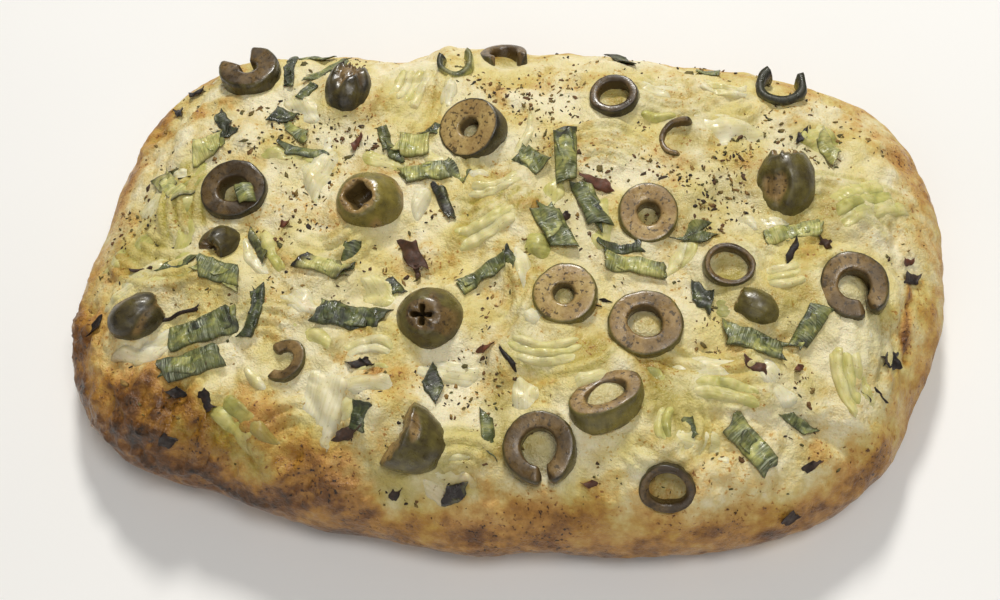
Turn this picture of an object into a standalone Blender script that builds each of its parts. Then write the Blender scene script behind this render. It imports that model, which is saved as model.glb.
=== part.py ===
"""An onion focaccia, baked in an oblong tin: a soft loaf with olives, spring onion and onion on top.

Metres, +Z up. The loaf rests on z = 0, its longest side along X. The middle of its base is the origin.
"""

import math
import random

import bmesh
import bpy
from mathutils import Matrix, Vector, noise
from mathutils.bvhtree import BVHTree

# Driving dimensions of the loaf.
LENGTH = 0.2500
WIDTH = 0.1640
HEIGHT = 0.0380
WAIST_HEIGHT = 0.0120
CORNER_POWER = 2.9
SHOULDER_POWER = 4.5
CROWN_POWER = 1.8

# Where the hand-shaped edge bulges past that plain outline or falls short of it, by compass angle in degrees.
EDGE_SWELL = {
    0: 0.0009, 15: 0.0020, 30: 0.0053, 45: 0.0009, 60: -0.0022, 90: -0.0014, 108: -0.0006, 120: -0.0078,
    135: -0.0020, 150: 0.0022, 172: -0.0018, 195: 0.0027, 210: 0.0016, 225: -0.0053, 247: -0.0027,
    270: -0.0009, 288: -0.0036, 325: -0.0042, 345: -0.0052, 360: 0.0009,
}

# Broad swells and dips of the top: x, y, reach, height.
TOP_SWELLS = [
    (-0.104, -0.046, 0.020, 0.0030),
    (-0.060, -0.066, 0.016, 0.0012),
    (-0.030, -0.052, 0.016, 0.0015),
    (0.045, -0.066, 0.022, 0.0012),
    (-0.003, 0.072, 0.010, -0.0060),
    (-0.090, 0.010, 0.018, 0.0012),
    (-0.052, 0.002, 0.016, 0.0014),
    (0.060, 0.026, 0.018, -0.0012),
    (0.018, 0.038, 0.018, 0.0016),
    (0.105, 0.030, 0.020, 0.0016),
    (-0.096, -0.034, 0.012, -0.0030),
    (0.028, -0.034, 0.014, 0.0016),
    (0.078, -0.060, 0.018, 0.0016),
]

# Onion strips that the dough has grown over: start x, y, end x, y, half width, height.
COVERED_ONION = [
    (0.086, -0.038, 0.112, -0.047, 0.0050, 0.0032),
    (-0.112, -0.004, -0.096, 0.012, 0.0060, 0.0014),
    (-0.108, -0.020, -0.084, -0.016, 0.0055, 0.0018),
    (0.026, 0.072, 0.040, 0.054, 0.0060, 0.0014),
    (0.106, -0.006, 0.104, -0.030, 0.0050, 0.0012),
    (-0.098, -0.056, -0.060, -0.071, 0.0060, 0.0022),
    (0.064, -0.068, 0.084, -0.066, 0.0050, 0.0018),
]

# Fine unevenness of the top: height, and bumps to the metre.
TOP_BUMPS = [(0.0015, 36), (0.0008, 80)]

# The loaf's grid, the rings that carry it over the shoulder, and the rows of its side: inset and height.
GRID_CELLS = (30, 20)
GRID_REACH = 0.93
SHOULDER_REACHES = [0.965, 0.990]
SIDE_ROWS = [(0.0, WAIST_HEIGHT), (0.0012, 0.0055), (0.0055, 0.0)]

# Space round a topping that is sunk in the dough, and under one that lies on it.
GAP = 0.0003
REST_GAP = 0.0006

# An olive is longer than it is wide by its slenderness. The rows of its outline are shares of its two ends.
OLIVE_SLENDERNESS = 1.3
BLUNT_END_ROWS = [1.0, 0.8, 0.3]
CUT_END_ROWS = [0.5, 1.0]
HOLE_TAPER = 0.7
CRINKLE = 0.0006
CRINKLES_TO_THE_METRE = 110
CRINKLE_SEED = 5
TURN_STEPS = 12

# Olive slices: x, y, radius, lowest and highest cut, hole, opening, lean to, lean, turn, rise, oval.
OLIVE_RINGS = [
    (-0.0840, 0.0560, 0.0100, -0.0040, 0.0040, 0.0030, 50, 120, 14, 155, 0.0015, 0.90),
    (-0.0070, 0.0685, 0.0075, -0.0030, 0.0030, 0.0044, 95, 95, 35, 345, 0.0015, 0.95),
    (-0.0113, 0.0353, 0.0095, -0.0035, 0.0030, 0.0030, 0, 215, 24, 0, 0.0025, 0.95),
    (0.0285, 0.0505, 0.0074, -0.0030, 0.0032, 0.0046, 0, 200, 6, 0, 0.0017, 0.95),
    (0.0488, 0.0385, 0.0068, -0.0020, 0.0024, 0.0050, 150, 200, 12, 65, 0.0010, 0.95),
    (-0.0778, 0.0105, 0.0097, -0.0035, 0.0028, 0.0045, 0, 250, 6, 0, 0.0012, 0.95),
    (0.0410, 0.0120, 0.0094, -0.0032, 0.0028, 0.0036, 0, 300, 8, 90, 0.0014, 0.88),
    (0.0640, -0.0030, 0.0069, -0.0024, 0.0026, 0.0051, 0, 300, 12, 0, 0.0022, 0.92),
    (0.0978, -0.0045, 0.0100, -0.0034, 0.0032, 0.0045, 12, 250, 8, 305, 0.0018, 0.95),
    (0.0210, -0.0160, 0.0092, -0.0034, 0.0032, 0.0031, 0, 250, 6, 0, 0.0018, 0.96),
    (0.0432, -0.0225, 0.0099, -0.0034, 0.0030, 0.0046, 0, 280, 6, 0, 0.0016, 0.96),
    (-0.0530, -0.0405, 0.0064, -0.0022, 0.0022, 0.0030, 85, 200, 10, 225, 0.0008, 0.95),
    (0.0184, -0.0584, 0.0100, -0.0042, 0.0038, 0.0050, 14, 260, 10, 292, 0.0018, 0.96),
    (0.0348, -0.0452, 0.0108, -0.0050, 0.0034, 0.0060, 0, 115, 24, 35, 0.0010, 0.66),
    (0.0520, -0.0640, 0.0074, -0.0030, 0.0026, 0.0048, 0, 275, 38, 0, -0.0002, 0.94),
]

# Olives left whole: x, y, radius, height of the cut end, hole, hole depth, lean to, lean, rise, oval.
WHOLE_OLIVES = [
    (-0.0510, 0.0480, 0.0070, 0.0080, 0.0032, 0.0050, 85, 72, 0.0022, 0.95),
    (0.0790, 0.0255, 0.0084, 0.0090, 0.0028, 0.0040, 100, 58, 0.0004, 0.95),
    (-0.0795, -0.0060, 0.0052, 0.0040, 0.0018, 0.0020, 240, 66, 0.0006, 1.00),
    (-0.0370, 0.0095, 0.0096, 0.0100, 0.0040, 0.0070, 222, 19, -0.0012, 0.98),
    (0.0715, -0.0135, 0.0056, 0.0050, 0.0022, 0.0030, 160, 82, -0.0006, 0.95),
    (-0.0150, -0.0250, 0.0094, 0.0106, 0.0022, 0.0050, 243, 18, -0.0014, 0.98),
    (-0.0990, -0.0290, 0.0066, 0.0072, 0.0028, 0.0050, 35, 84, 0.0018, 1.00),
    (-0.0175, -0.0590, 0.0096, 0.0022, 0.0034, 0.0060, 165, 62, 0.0012, 1.00),
]

# Spring onion lying flat: x, y, length, width, turn, bend.
SPRING_ONION_PIECES = [
    (-0.0725, 0.0585, 0.0170, 0.0036, -79, 14),
    (-0.0985, 0.0125, 0.0150, 0.0062, -40, 8),
    (-0.0905, 0.0265, 0.0092, 0.0078, 28, 0),
    (-0.0280, 0.0305, 0.0086, 0.0080, 4, 0),
    (-0.0235, 0.0205, 0.0130, 0.0062, 12, 0),
    (-0.0770, -0.0155, 0.0130, 0.0066, -14, 0),
    (0.0165, 0.0285, 0.0170, 0.0064, 97, 0),
    (0.0070, 0.0265, 0.0086, 0.0064, -32, 0),
    (0.0250, 0.0135, 0.0150, 0.0062, -62, 0),
    (0.0160, 0.0040, 0.0130, 0.0074, -58, 0),
    (0.0810, 0.0108, 0.0160, 0.0048, 16, -30),
    (0.0390, -0.0050, 0.0165, 0.0052, -4, 12),
    (0.0718, -0.0238, 0.0160, 0.0064, -12, 0),
    (0.0866, -0.0176, 0.0130, 0.0054, 62, 0),
    (0.0728, -0.0520, 0.0150, 0.0066, -42, 0),
    (-0.0030, -0.0105, 0.0150, 0.0046, 40, -30),
    (-0.0475, -0.0120, 0.0140, 0.0056, -10, 0),
    (-0.0368, -0.0265, 0.0190, 0.0070, -2, 0),
    (-0.0785, -0.0325, 0.0200, 0.0076, 20, 0),
    (-0.0800, -0.0425, 0.0170, 0.0074, 20, 0),
    (-0.0640, -0.0276, 0.0150, 0.0040, 84, 46),
]
SPRING_ONION_THICKNESS = 0.0016
SPRING_ONION_ARCH = 0.0009
SPRING_ONION_CELLS = (3, 2)

# Spring onion rings that stand open: x, y, radius, hole, height, opening, turn, rise.
SPRING_ONION_RINGS = [
    (-0.0205, 0.0615, 0.0056, 0.0040, 0.0046, 90, 155, 0.0014),
    (0.0765, 0.0625, 0.0072, 0.0050, 0.0064, 90, 125, 0.0016),
]

# Onion slices: x, y, length, width, turn, bend.
ONION_SLICES = [
    (-0.0622, -0.0590, 0.0220, 0.0070, -36, 8),
    (-0.0408, -0.0500, 0.0160, 0.0090, 82, 24),
    (-0.0300, -0.0345, 0.0180, 0.0046, 4, -95),
    (0.0170, -0.0335, 0.0240, 0.0064, 2, 70),
    (0.0980, -0.0310, 0.0220, 0.0080, -68, 50),
    (0.0792, -0.0040, 0.0130, 0.0070, 16, 60),
    (0.1010, 0.0240, 0.0240, 0.0110, 32, -16),
    (0.0660, -0.0390, 0.0230, 0.0054, -6, -26),
    (0.0495, -0.0500, 0.0130, 0.0042, -84, 100),
    (-0.0030, 0.0040, 0.0200, 0.0060, 32, 18),
    (-0.0020, 0.0170, 0.0180, 0.0044, 22, 60),
    (-0.0330, 0.0530, 0.0180, 0.0100, 80, 0),
    (0.0600, 0.0575, 0.0180, 0.0044, -2, 95),
]
ONION_THICKNESS = 0.0020
ONION_ARCH = 0.0010
ONION_CELLS = (6, 2)

# Smaller scraps of spring onion and char that are baked into the dough: x, y, length, width, turn.
BAKED_IN_SCRAPS = [
    (-0.0660, 0.0665, 0.0090, 0.0034, -12),
    (-0.0605, 0.0590, 0.0150, 0.0034, 44),
    (-0.0695, 0.0385, 0.0070, 0.0056, -10),
    (-0.0640, 0.0330, 0.0080, 0.0040, -30),
    (-0.0600, 0.0258, 0.0150, 0.0036, -8),
    (-0.0880, 0.0365, 0.0080, 0.0040, -50),
    (-0.0370, 0.0320, 0.0080, 0.0034, -66),
    (-0.0165, 0.0115, 0.0100, 0.0034, -62),
    (-0.0900, -0.0125, 0.0100, 0.0040, 10),
    (0.0285, 0.0720, 0.0090, 0.0050, -60),
    (0.0550, 0.0690, 0.0070, 0.0040, -5),
    (0.0905, 0.0410, 0.0100, 0.0050, -60),
    (0.0530, 0.0080, 0.0080, 0.0040, 40),
    (0.0575, -0.0120, 0.0070, 0.0060, -35),
    (0.0570, -0.0495, 0.0050, 0.0028, -60),
    (0.0850, -0.0440, 0.0080, 0.0032, -25),
    (0.0045, -0.0560, 0.0110, 0.0034, -78),
    (-0.0030, -0.0720, 0.0070, 0.0050, 15),
    (-0.0405, -0.0010, 0.0060, 0.0050, 90),
    (-0.0680, -0.0060, 0.0110, 0.0028, -52),
    (-0.0115, -0.0440, 0.0080, 0.0060, -55),
    (-0.0300, -0.0550, 0.0070, 0.0050, 80),
    (-0.0778, -0.0530, 0.0060, 0.0046, 60),
    (0.1090, -0.0215, 0.0040, 0.0034, 30),
]
SCRAP_PROUD = 0.0008
SCRAP_SUNK = 0.0006
SCRAP_CELLS = (2, 1)

# Herb and chilli flakes baked into the dough: x, y, how far they spread, how many.
FLAKE_PATCHES = [
    (0.012, 0.044, 0.012, 7),
    (0.060, 0.022, 0.014, 9),
    (-0.055, 0.010, 0.014, 4),
    (0.005, -0.028, 0.014, 5),
    (0.062, -0.030, 0.012, 4),
    (-0.004, -0.055, 0.012, 3),
    (0.000, 0.000, 0.085, 12),
]
PATCH_FLATNESS = 0.7
FLAKE_LENGTH = 0.0030
FLAKE_WIDTH = 0.0016
FLAKE_HEIGHT = 0.0012
FLAKE_TAPER = 0.84
FLAKE_SIZES = (0.8, 1.3)
FLAKE_TILT = 0.2
FLAKE_CLEARANCE = 0.0022
FLAKE_SPACING = 0.0066
FLAKE_REACH = 0.86

# Finishes: linear red, green and blue, and roughness. Each piece is a shade lighter or darker.
DOUGH = ((0.72, 0.53, 0.27), 0.60)
OLIVE = ((0.12, 0.09, 0.035), 0.42)
SPRING_ONION = ((0.10, 0.16, 0.06), 0.50)
ONION = ((0.70, 0.62, 0.33), 0.35)
SHADES = (0.85, 1.15)
SHARP_EDGE = math.radians(40)


def edge_radius(angle):
    """Distance from the middle to the widest line of the loaf, in plan."""
    across = abs(math.cos(angle)) / (LENGTH / 2)
    along = abs(math.sin(angle)) / (WIDTH / 2)
    plain = (across**CORNER_POWER + along**CORNER_POWER) ** (-1 / CORNER_POWER)
    degrees = math.degrees(angle) % 360
    stops = sorted(EDGE_SWELL)
    after = next(stop for stop in stops[1:] if degrees <= stop)
    before = stops[stops.index(after) - 1]
    part = (degrees - before) / (after - before)
    part = part * part * (3 - 2 * part)
    return plain + EDGE_SWELL[before] * (1 - part) + EDGE_SWELL[after] * part


def distance_to_line(x, y, x0, y0, x1, y1):
    run, rise = x1 - x0, y1 - y0
    along = ((x - x0) * run + (y - y0) * rise) / (run * run + rise * rise)
    along = min(1.0, max(0.0, along))
    return math.hypot(x - x0 - along * run, y - y0 - along * rise)


def top_height(x, y):
    """Height of the loaf's top at a place in plan."""
    reach = min(1.0, math.hypot(x, y) / edge_radius(math.atan2(y, x)))
    fall = (1 - reach**SHOULDER_POWER) ** (1 / CROWN_POWER)
    relief = sum(height * noise.noise(Vector((x, y, 0.0)) * pitch) for height, pitch in TOP_BUMPS)
    for at_x, at_y, spread, swell in TOP_SWELLS:
        relief += swell * math.exp(-((x - at_x) ** 2 + (y - at_y) ** 2) / spread**2)
    for x0, y0, x1, y1, half_width, swell in COVERED_ONION:
        relief += swell * math.exp(-((distance_to_line(x, y, x0, y0, x1, y1) / half_width) ** 2))
    return WAIST_HEIGHT + (HEIGHT - WAIST_HEIGHT + relief) * fall


def new_collection(name):
    collection = bpy.data.collections.new(name)
    bpy.context.scene.collection.children.link(collection)
    return collection


def food_material(name, finish):
    """A dull finish, its shade drawn by the piece's name."""
    colour, roughness = finish
    shade = random.Random(name).uniform(*SHADES)
    made = bpy.data.materials.new(name)
    made.use_nodes = True
    shader = made.node_tree.nodes["Principled BSDF"]
    shader.inputs["Base Color"].default_value = (*(channel * shade for channel in colour), 1.0)
    shader.inputs["Roughness"].default_value = roughness
    shader.inputs["Metallic"].default_value = 0.0
    return made


def add_object(name, shape, collection, place=Matrix(), finish=None):
    """Turns a bmesh into an object that stands at a place, and frees the bmesh."""
    mesh = bpy.data.meshes.new(name)
    shape.to_mesh(mesh)
    shape.free()
    mesh.shade_smooth()
    mesh.set_sharp_from_angle(angle=SHARP_EDGE)
    if finish:
        mesh.materials.append(food_material(name, finish))
    made = bpy.data.objects.new(name, mesh)
    made.matrix_world = place
    collection.objects.link(made)
    return made


def draw_out_rim(shape, reach, inset, height=None):
    """Extrudes the open rim to a share of the loaf's edge, less an inset, at a height or else on its top."""
    rim = [edge for edge in shape.edges if edge.is_boundary]
    drawn = bmesh.ops.extrude_edge_only(shape, edges=rim)["geom"]
    for vertex in [part for part in drawn if isinstance(part, bmesh.types.BMVert)]:
        angle = math.atan2(vertex.co.y, vertex.co.x)
        distance = edge_radius(angle) * reach - inset
        x, y = distance * math.cos(angle), distance * math.sin(angle)
        vertex.co = (x, y, top_height(x, y) if height is None else height)


def loaf_shape():
    """A grid bent to the loaf's top, with its rim drawn out over the shoulder and down to a flat base."""
    shape = bmesh.new()
    bmesh.ops.create_grid(shape, x_segments=GRID_CELLS[0], y_segments=GRID_CELLS[1], size=1)
    for vertex in shape.verts:
        u, v = vertex.co.x, vertex.co.y
        angle = math.atan2(v * WIDTH, u * LENGTH)
        distance = max(abs(u), abs(v)) * GRID_REACH * edge_radius(angle)
        x, y = distance * math.cos(angle), distance * math.sin(angle)
        vertex.co = (x, y, top_height(x, y))
    for reach in SHOULDER_REACHES:
        draw_out_rim(shape, reach, 0.0)
    for inset, height in SIDE_ROWS:
        draw_out_rim(shape, 1.0, inset, height)
    bmesh.ops.contextual_create(shape, geom=[edge for edge in shape.edges if edge.is_boundary])
    bmesh.ops.recalc_face_normals(shape, faces=shape.faces)
    return shape


def ground_height(x, y):
    """Height of the faceted loaf itself at a place in plan."""
    found = loaf_surface.ray_cast(Vector((x, y, 2 * HEIGHT)), Vector((0.0, 0.0, -1.0)))[0]
    return found.z if found else WAIST_HEIGHT


def crinkle(shape, seed):
    """Moves the points a little, so that no two pieces are alike."""
    for vertex in shape.verts:
        place = vertex.co * CRINKLES_TO_THE_METRE + Vector((seed, 0.0, 0.0))
        vertex.co += CRINKLE * noise.noise_vector(place)


def skin_radius(radius, height):
    half_length = radius * OLIVE_SLENDERNESS
    return radius * math.sqrt(max(0.0, 1 - (height / half_length) ** 2))


def turn_outline(outline, closed, opening=0):
    """Turns an outline of distances and heights about +Z, all round or all but an opening of some degrees."""
    shape = bmesh.new()
    corners = [shape.verts.new((distance, 0.0, height)) for distance, height in outline]
    following = corners[1:] + corners[:1] if closed else corners[1:]
    for corner, next_corner in zip(corners, following):
        shape.edges.new((corner, next_corner))
    turned = shape.verts[:] + shape.edges[:]
    if opening:
        turned.append(shape.faces.new(corners))
    bmesh.ops.spin(
        shape, geom=turned, cent=(0, 0, 0), axis=(0, 0, 1), dvec=(0, 0, 0),
        angle=math.radians(360 - opening), steps=TURN_STEPS, use_merge=not opening,
    )
    bmesh.ops.remove_doubles(shape, verts=shape.verts, dist=0.000001)
    bmesh.ops.recalc_face_normals(shape, faces=shape.faces)
    return shape


def ring_slice(radius, low, high, hole, opening=0):
    """A slice of a stoned olive, cut at heights low and high, and open by some degrees where it split."""
    heights = [low, (low + high) / 2, high]
    outline = [(hole, low)] + [(skin_radius(radius, height), height) for height in heights] + [(hole, high)]
    return turn_outline(outline, True, opening)


def whole_olive(radius, high, hole, depth):
    """A stoned olive, cut off at height high, where the stone's hole goes in by some depth."""
    low = -radius * OLIVE_SLENDERNESS
    heights = [low * share for share in BLUNT_END_ROWS] + [high * share for share in CUT_END_ROWS]
    outline = [(skin_radius(radius, height), height) for height in heights]
    outline += [(hole, high), (hole * HOLE_TAPER, high - depth), (0.0, high - depth)]
    return turn_outline(outline, False)


def draped_strip(x, y, length, width, turn, bend, low, high, arch, cells):
    """A strip that follows the loaf between two heights over it: bend is how far it turns in plan."""
    shape = bmesh.new()
    bmesh.ops.create_grid(shape, x_segments=cells[0], y_segments=cells[1], size=0.5)
    bmesh.ops.triangulate(shape, faces=shape.faces)
    for vertex in shape.verts:
        flat = Vector((vertex.co.x * length, vertex.co.y * width))
        if bend:
            ring = length / math.radians(bend)
            angle, reach = flat.x / ring, ring - flat.y
            flat = Vector((reach * math.sin(angle), ring - reach * math.cos(angle)))
        flat.rotate(Matrix.Rotation(math.radians(turn), 2))
        crown = arch * (1 - (2 * vertex.co.y) ** 2)
        height = ground_height(x + flat.x, y + flat.y) - ground_height(x, y)
        vertex.co = (flat.x, flat.y, height + crown + low)
    raised = bmesh.ops.extrude_face_region(shape, geom=shape.faces[:])["geom"]
    corners = [part for part in raised if isinstance(part, bmesh.types.BMVert)]
    bmesh.ops.translate(shape, vec=(0.0, 0.0, high - low), verts=corners)
    bmesh.ops.recalc_face_normals(shape, faces=shape.faces)
    return shape


def flake(turn, tilt, size):
    """A five-sided chip of dried herb or chilli, its middle at the surface of the dough."""
    shape = bmesh.new()
    bmesh.ops.create_cone(shape, cap_ends=True, segments=5, radius1=0.5, radius2=0.5 * FLAKE_TAPER, depth=1.0)
    bmesh.ops.scale(shape, vec=(FLAKE_LENGTH * size, FLAKE_WIDTH * size, FLAKE_HEIGHT), verts=shape.verts)
    bmesh.ops.rotate(shape, matrix=Matrix.Rotation(tilt, 3, "Y"), verts=shape.verts)
    bmesh.ops.rotate(shape, matrix=Matrix.Rotation(turn, 3, "Z"), verts=shape.verts)
    return shape


def standing_at(x, y, rise, lean_to, lean, turn):
    """Place of a piece at a height over the loaf, its axis leaning some degrees towards a compass angle."""
    towards = Matrix.Rotation(math.radians(lean_to), 4, "Z")
    tipped = Matrix.Rotation(math.radians(lean), 4, "Y")
    turned = Matrix.Rotation(math.radians(turn - lean_to), 4, "Z")
    return Matrix.Translation((x, y, top_height(x, y) + rise)) @ towards @ tipped @ turned


def seat_in_loaf(name, shape, place, finish):
    """Adds a piece with a cutter that is larger by the gap all round, which makes its seat in the dough."""
    cutter = shape.copy()
    cutter.normal_update()
    steps = [vertex.normal * GAP * vertex.calc_shell_factor() for vertex in cutter.verts]
    for vertex, step in zip(cutter.verts, steps):
        vertex.co += step
    add_object(name, shape, parts, place, finish)
    seat = add_object(name + "_seat", cutter, cutters, place)
    seat.hide_render = True
    seat.display_type = "WIRE"


def rest_on_loaf(name, row, thickness, arch, cells, finish):
    """Adds a strip that lies on the dough, its lower face a small gap over it."""
    x, y = row[:2]
    shape = draped_strip(*row, REST_GAP, REST_GAP + thickness, arch, cells)
    add_object(name, shape, parts, Matrix.Translation((x, y, ground_height(x, y))), finish)


def toppings_surface():
    """All the toppings as one surface, to measure distances to."""
    joined = bmesh.new()
    for item in parts.objects:
        copy = item.data.copy()
        copy.transform(item.matrix_world)
        joined.from_mesh(copy)
        bpy.data.meshes.remove(copy)
    surface = BVHTree.FromBMesh(joined)
    joined.free()
    return surface


def add_flakes():
    """Scatters flakes over their patches, each clear of the toppings, the scraps and the other flakes."""
    draw = random.Random(11)
    toppings = toppings_surface()
    places = [Vector((row[0], row[1])) for row in BAKED_IN_SCRAPS]
    for at_x, at_y, spread, count in FLAKE_PATCHES:
        placed = 0
        while placed < count:
            x, y = draw.gauss(at_x, spread), draw.gauss(at_y, spread * PATCH_FLATNESS)
            if math.hypot(x, y) > FLAKE_REACH * edge_radius(math.atan2(y, x)):
                continue
            spot = Vector((x, y, ground_height(x, y)))
            crowded = any((spot.xy - place).length < FLAKE_SPACING for place in places)
            if crowded or toppings.find_nearest(spot)[3] < FLAKE_CLEARANCE:
                continue
            tilt = draw.uniform(-FLAKE_TILT, FLAKE_TILT)
            shape = flake(draw.uniform(0, math.pi), tilt, draw.uniform(*FLAKE_SIZES))
            add_object(f"flake_{len(places)}", shape, fused, Matrix.Translation(spot))
            places.append(spot.xy)
            placed += 1


def bake_in(item, collection):
    """Joins a collection to an object by a union, applies it, and removes what it joined."""
    union = item.modifiers.new("baked_in", "BOOLEAN")
    union.operation = "UNION"
    union.solver = "EXACT"
    union.operand_type = "COLLECTION"
    union.collection = collection
    graph = bpy.context.evaluated_depsgraph_get()
    joined = bpy.data.meshes.new_from_object(item.evaluated_get(graph))
    item.modifiers.remove(union)
    item.data = joined
    for used in list(collection.objects):
        bpy.data.objects.remove(used, do_unlink=True)
    bpy.data.collections.remove(collection)


for leftover in list(bpy.data.objects):
    bpy.data.objects.remove(leftover, do_unlink=True)

parts = new_collection("onion_focaccia")
cutters = new_collection("cutters")
fused = new_collection("baked_in_toppings")

dough_shape = loaf_shape()
loaf_surface = BVHTree.FromBMesh(dough_shape)

# Vector noise starts from the clock unless it is given a seed, and every run has to give the same olives.
noise.seed_set(CRINKLE_SEED)

for number, row in enumerate(OLIVE_RINGS, 1):
    x, y, radius, low, high, hole, opening, lean_to, lean, turn, rise, oval = row
    piece = ring_slice(radius, low, high, hole, opening)
    bmesh.ops.scale(piece, vec=(1.0, oval, 1.0), verts=piece.verts)
    crinkle(piece, number)
    seat_in_loaf(f"olive_ring_{number:02d}", piece, standing_at(x, y, rise, lean_to, lean, turn), OLIVE)

for number, row in enumerate(WHOLE_OLIVES, 1):
    x, y, radius, high, hole, depth, lean_to, lean, rise, oval = row
    piece = whole_olive(radius, high, hole, depth)
    bmesh.ops.scale(piece, vec=(1.0, oval, 1.0), verts=piece.verts)
    crinkle(piece, number)
    seat_in_loaf(f"olive_{number:02d}", piece, standing_at(x, y, rise, lean_to, lean, 0), OLIVE)

for number, row in enumerate(SPRING_ONION_RINGS, 1):
    x, y, radius, hole, height, opening, turn, rise = row
    piece = ring_slice(radius, -height / 2, height / 2, hole, opening)
    crinkle(piece, number)
    seat_in_loaf(f"spring_onion_ring_{number}", piece, standing_at(x, y, rise, 0, 0, turn), SPRING_ONION)

for number, row in enumerate(SPRING_ONION_PIECES, 1):
    form = (SPRING_ONION_THICKNESS, SPRING_ONION_ARCH, SPRING_ONION_CELLS)
    rest_on_loaf(f"spring_onion_{number:02d}", row, *form, SPRING_ONION)

for number, row in enumerate(ONION_SLICES, 1):
    rest_on_loaf(f"onion_{number:02d}", row, ONION_THICKNESS, ONION_ARCH, ONION_CELLS, ONION)

for number, row in enumerate(BAKED_IN_SCRAPS, 1):
    x, y = row[:2]
    piece = draped_strip(*row, 0, -SCRAP_SUNK, SCRAP_PROUD, 0.0, SCRAP_CELLS)
    add_object(f"scrap_{number}", piece, fused, Matrix.Translation((x, y, ground_height(x, y))))
add_flakes()

loaf = add_object("loaf", dough_shape, parts, finish=DOUGH)
bake_in(loaf, fused)
seats = loaf.modifiers.new("seats", "BOOLEAN")
seats.operation = "DIFFERENCE"
seats.solver = "EXACT"
seats.operand_type = "COLLECTION"
seats.collection = cutters
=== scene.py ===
"""An onion focaccia turned out of its tin: a soft loaf baked with onion, olives, spring onion and herbs on top.

Metres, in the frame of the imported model: +Z up, the base on z = 0 and the longest side along X.
"""

import math
import random

import bmesh
import bpy
import numpy as np
from mathutils import Matrix, Vector, noise


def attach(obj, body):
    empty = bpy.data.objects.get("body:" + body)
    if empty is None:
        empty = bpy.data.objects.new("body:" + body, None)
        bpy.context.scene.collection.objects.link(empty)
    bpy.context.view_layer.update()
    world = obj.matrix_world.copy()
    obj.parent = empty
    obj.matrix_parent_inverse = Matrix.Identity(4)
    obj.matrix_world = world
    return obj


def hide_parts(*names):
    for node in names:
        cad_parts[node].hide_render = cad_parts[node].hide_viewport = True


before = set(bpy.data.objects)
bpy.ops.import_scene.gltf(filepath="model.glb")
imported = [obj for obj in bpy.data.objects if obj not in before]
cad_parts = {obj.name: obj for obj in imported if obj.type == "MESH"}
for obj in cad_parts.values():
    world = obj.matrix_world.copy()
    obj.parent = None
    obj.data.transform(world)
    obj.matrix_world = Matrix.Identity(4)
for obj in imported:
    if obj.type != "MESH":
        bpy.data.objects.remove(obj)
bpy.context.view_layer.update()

# The dough: a wet wheat dough with oil in it, pressed into an oblong tin with the fingers.
# It is one soft loaf. It rose round its toppings in the oven, so its top is domed, lumpy and creased.
# The edge and the front left corner stood nearest the heat and are browned and blistered.
LENGTH = 0.2500
WIDTH = 0.1640
HEIGHT = 0.0380
WAIST_HEIGHT = 0.0120
CORNER_POWER = 2.9
SHOULDER_POWER = 4.5
CROWN_POWER = 1.8
BASE_INSET = 0.0055
BASE_INSET_POWER = 2.5

# Where the hand-shaped edge bulges past its plain outline or falls short of it, by compass angle in degrees.
EDGE_SWELL = {
    0: 0.0009, 15: 0.0020, 30: 0.0053, 45: 0.0009, 60: -0.0022, 90: -0.0014, 108: -0.0006, 120: -0.0078,
    135: -0.0020, 150: 0.0022, 172: -0.0018, 195: 0.0027, 210: 0.0016, 225: -0.0053, 247: -0.0027,
    270: -0.0009, 288: -0.0036, 325: -0.0042, 345: -0.0052, 360: 0.0009,
}

# Broad swells and dips of the top: x, y, reach, height.
TOP_SWELLS = [
    (-0.104, -0.046, 0.020, 0.0030),
    (-0.060, -0.066, 0.016, 0.0012),
    (-0.030, -0.052, 0.016, 0.0015),
    (0.045, -0.066, 0.022, 0.0012),
    (-0.003, 0.072, 0.010, -0.0060),
    (-0.090, 0.010, 0.018, 0.0012),
    (-0.052, 0.002, 0.016, 0.0014),
    (0.060, 0.026, 0.018, -0.0012),
    (0.018, 0.038, 0.018, 0.0016),
    (0.105, 0.030, 0.020, 0.0016),
    (-0.096, -0.034, 0.012, -0.0030),
    (0.028, -0.034, 0.014, 0.0016),
    (0.078, -0.060, 0.018, 0.0016),
]

# Onion strips that the dough has grown over: start x, y, end x, y, half width, height.
COVERED_ONION = [
    (0.086, -0.038, 0.112, -0.047, 0.0050, 0.0032),
    (-0.112, -0.004, -0.096, 0.012, 0.0060, 0.0014),
    (-0.108, -0.020, -0.084, -0.016, 0.0055, 0.0018),
    (0.026, 0.072, 0.040, 0.054, 0.0060, 0.0014),
    (0.106, -0.006, 0.104, -0.030, 0.0050, 0.0012),
    (-0.098, -0.056, -0.060, -0.071, 0.0060, 0.0022),
    (0.064, -0.068, 0.084, -0.066, 0.0050, 0.0018),
]
TOP_BUMPS = [(0.0015, 36), (0.0008, 80)]

# The loaf's grid, the rings that carry it over the shoulder, and those of its side.
GRID_CELLS = (296, 192)
GRID_REACH = 0.93
SHOULDER_RINGS = 14
SIDE_RINGS = 9

# Height and number to the metre of the creased lumps, of finer unevenness, and of the browned crust's blisters.
CREASED_LUMPS = [(0.0040, 42), (0.0026, 96), (0.0012, 210)]
FINE_LUMPS = [(0.00034, 330), (0.00020, 620)]
BLISTERS = [(0.0036, 105), (0.0020, 250), (0.0008, 560)]
# The size of the noise that makes neither a lump nor a crease, and neither a blister nor a pit.
CREASE_LEVEL = 0.22
BLISTER_LEVEL = 0.28
# How much browner a blister is than the creases round it, for each metre of its height.
BLISTER_BROWNING = 80
# From which to which toastedness, and from which to which height, the blisters come up.
BLISTERED_TOAST = (0.12, 0.38)
BLISTERED_HEIGHTS = (0.008, 0.018)
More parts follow.
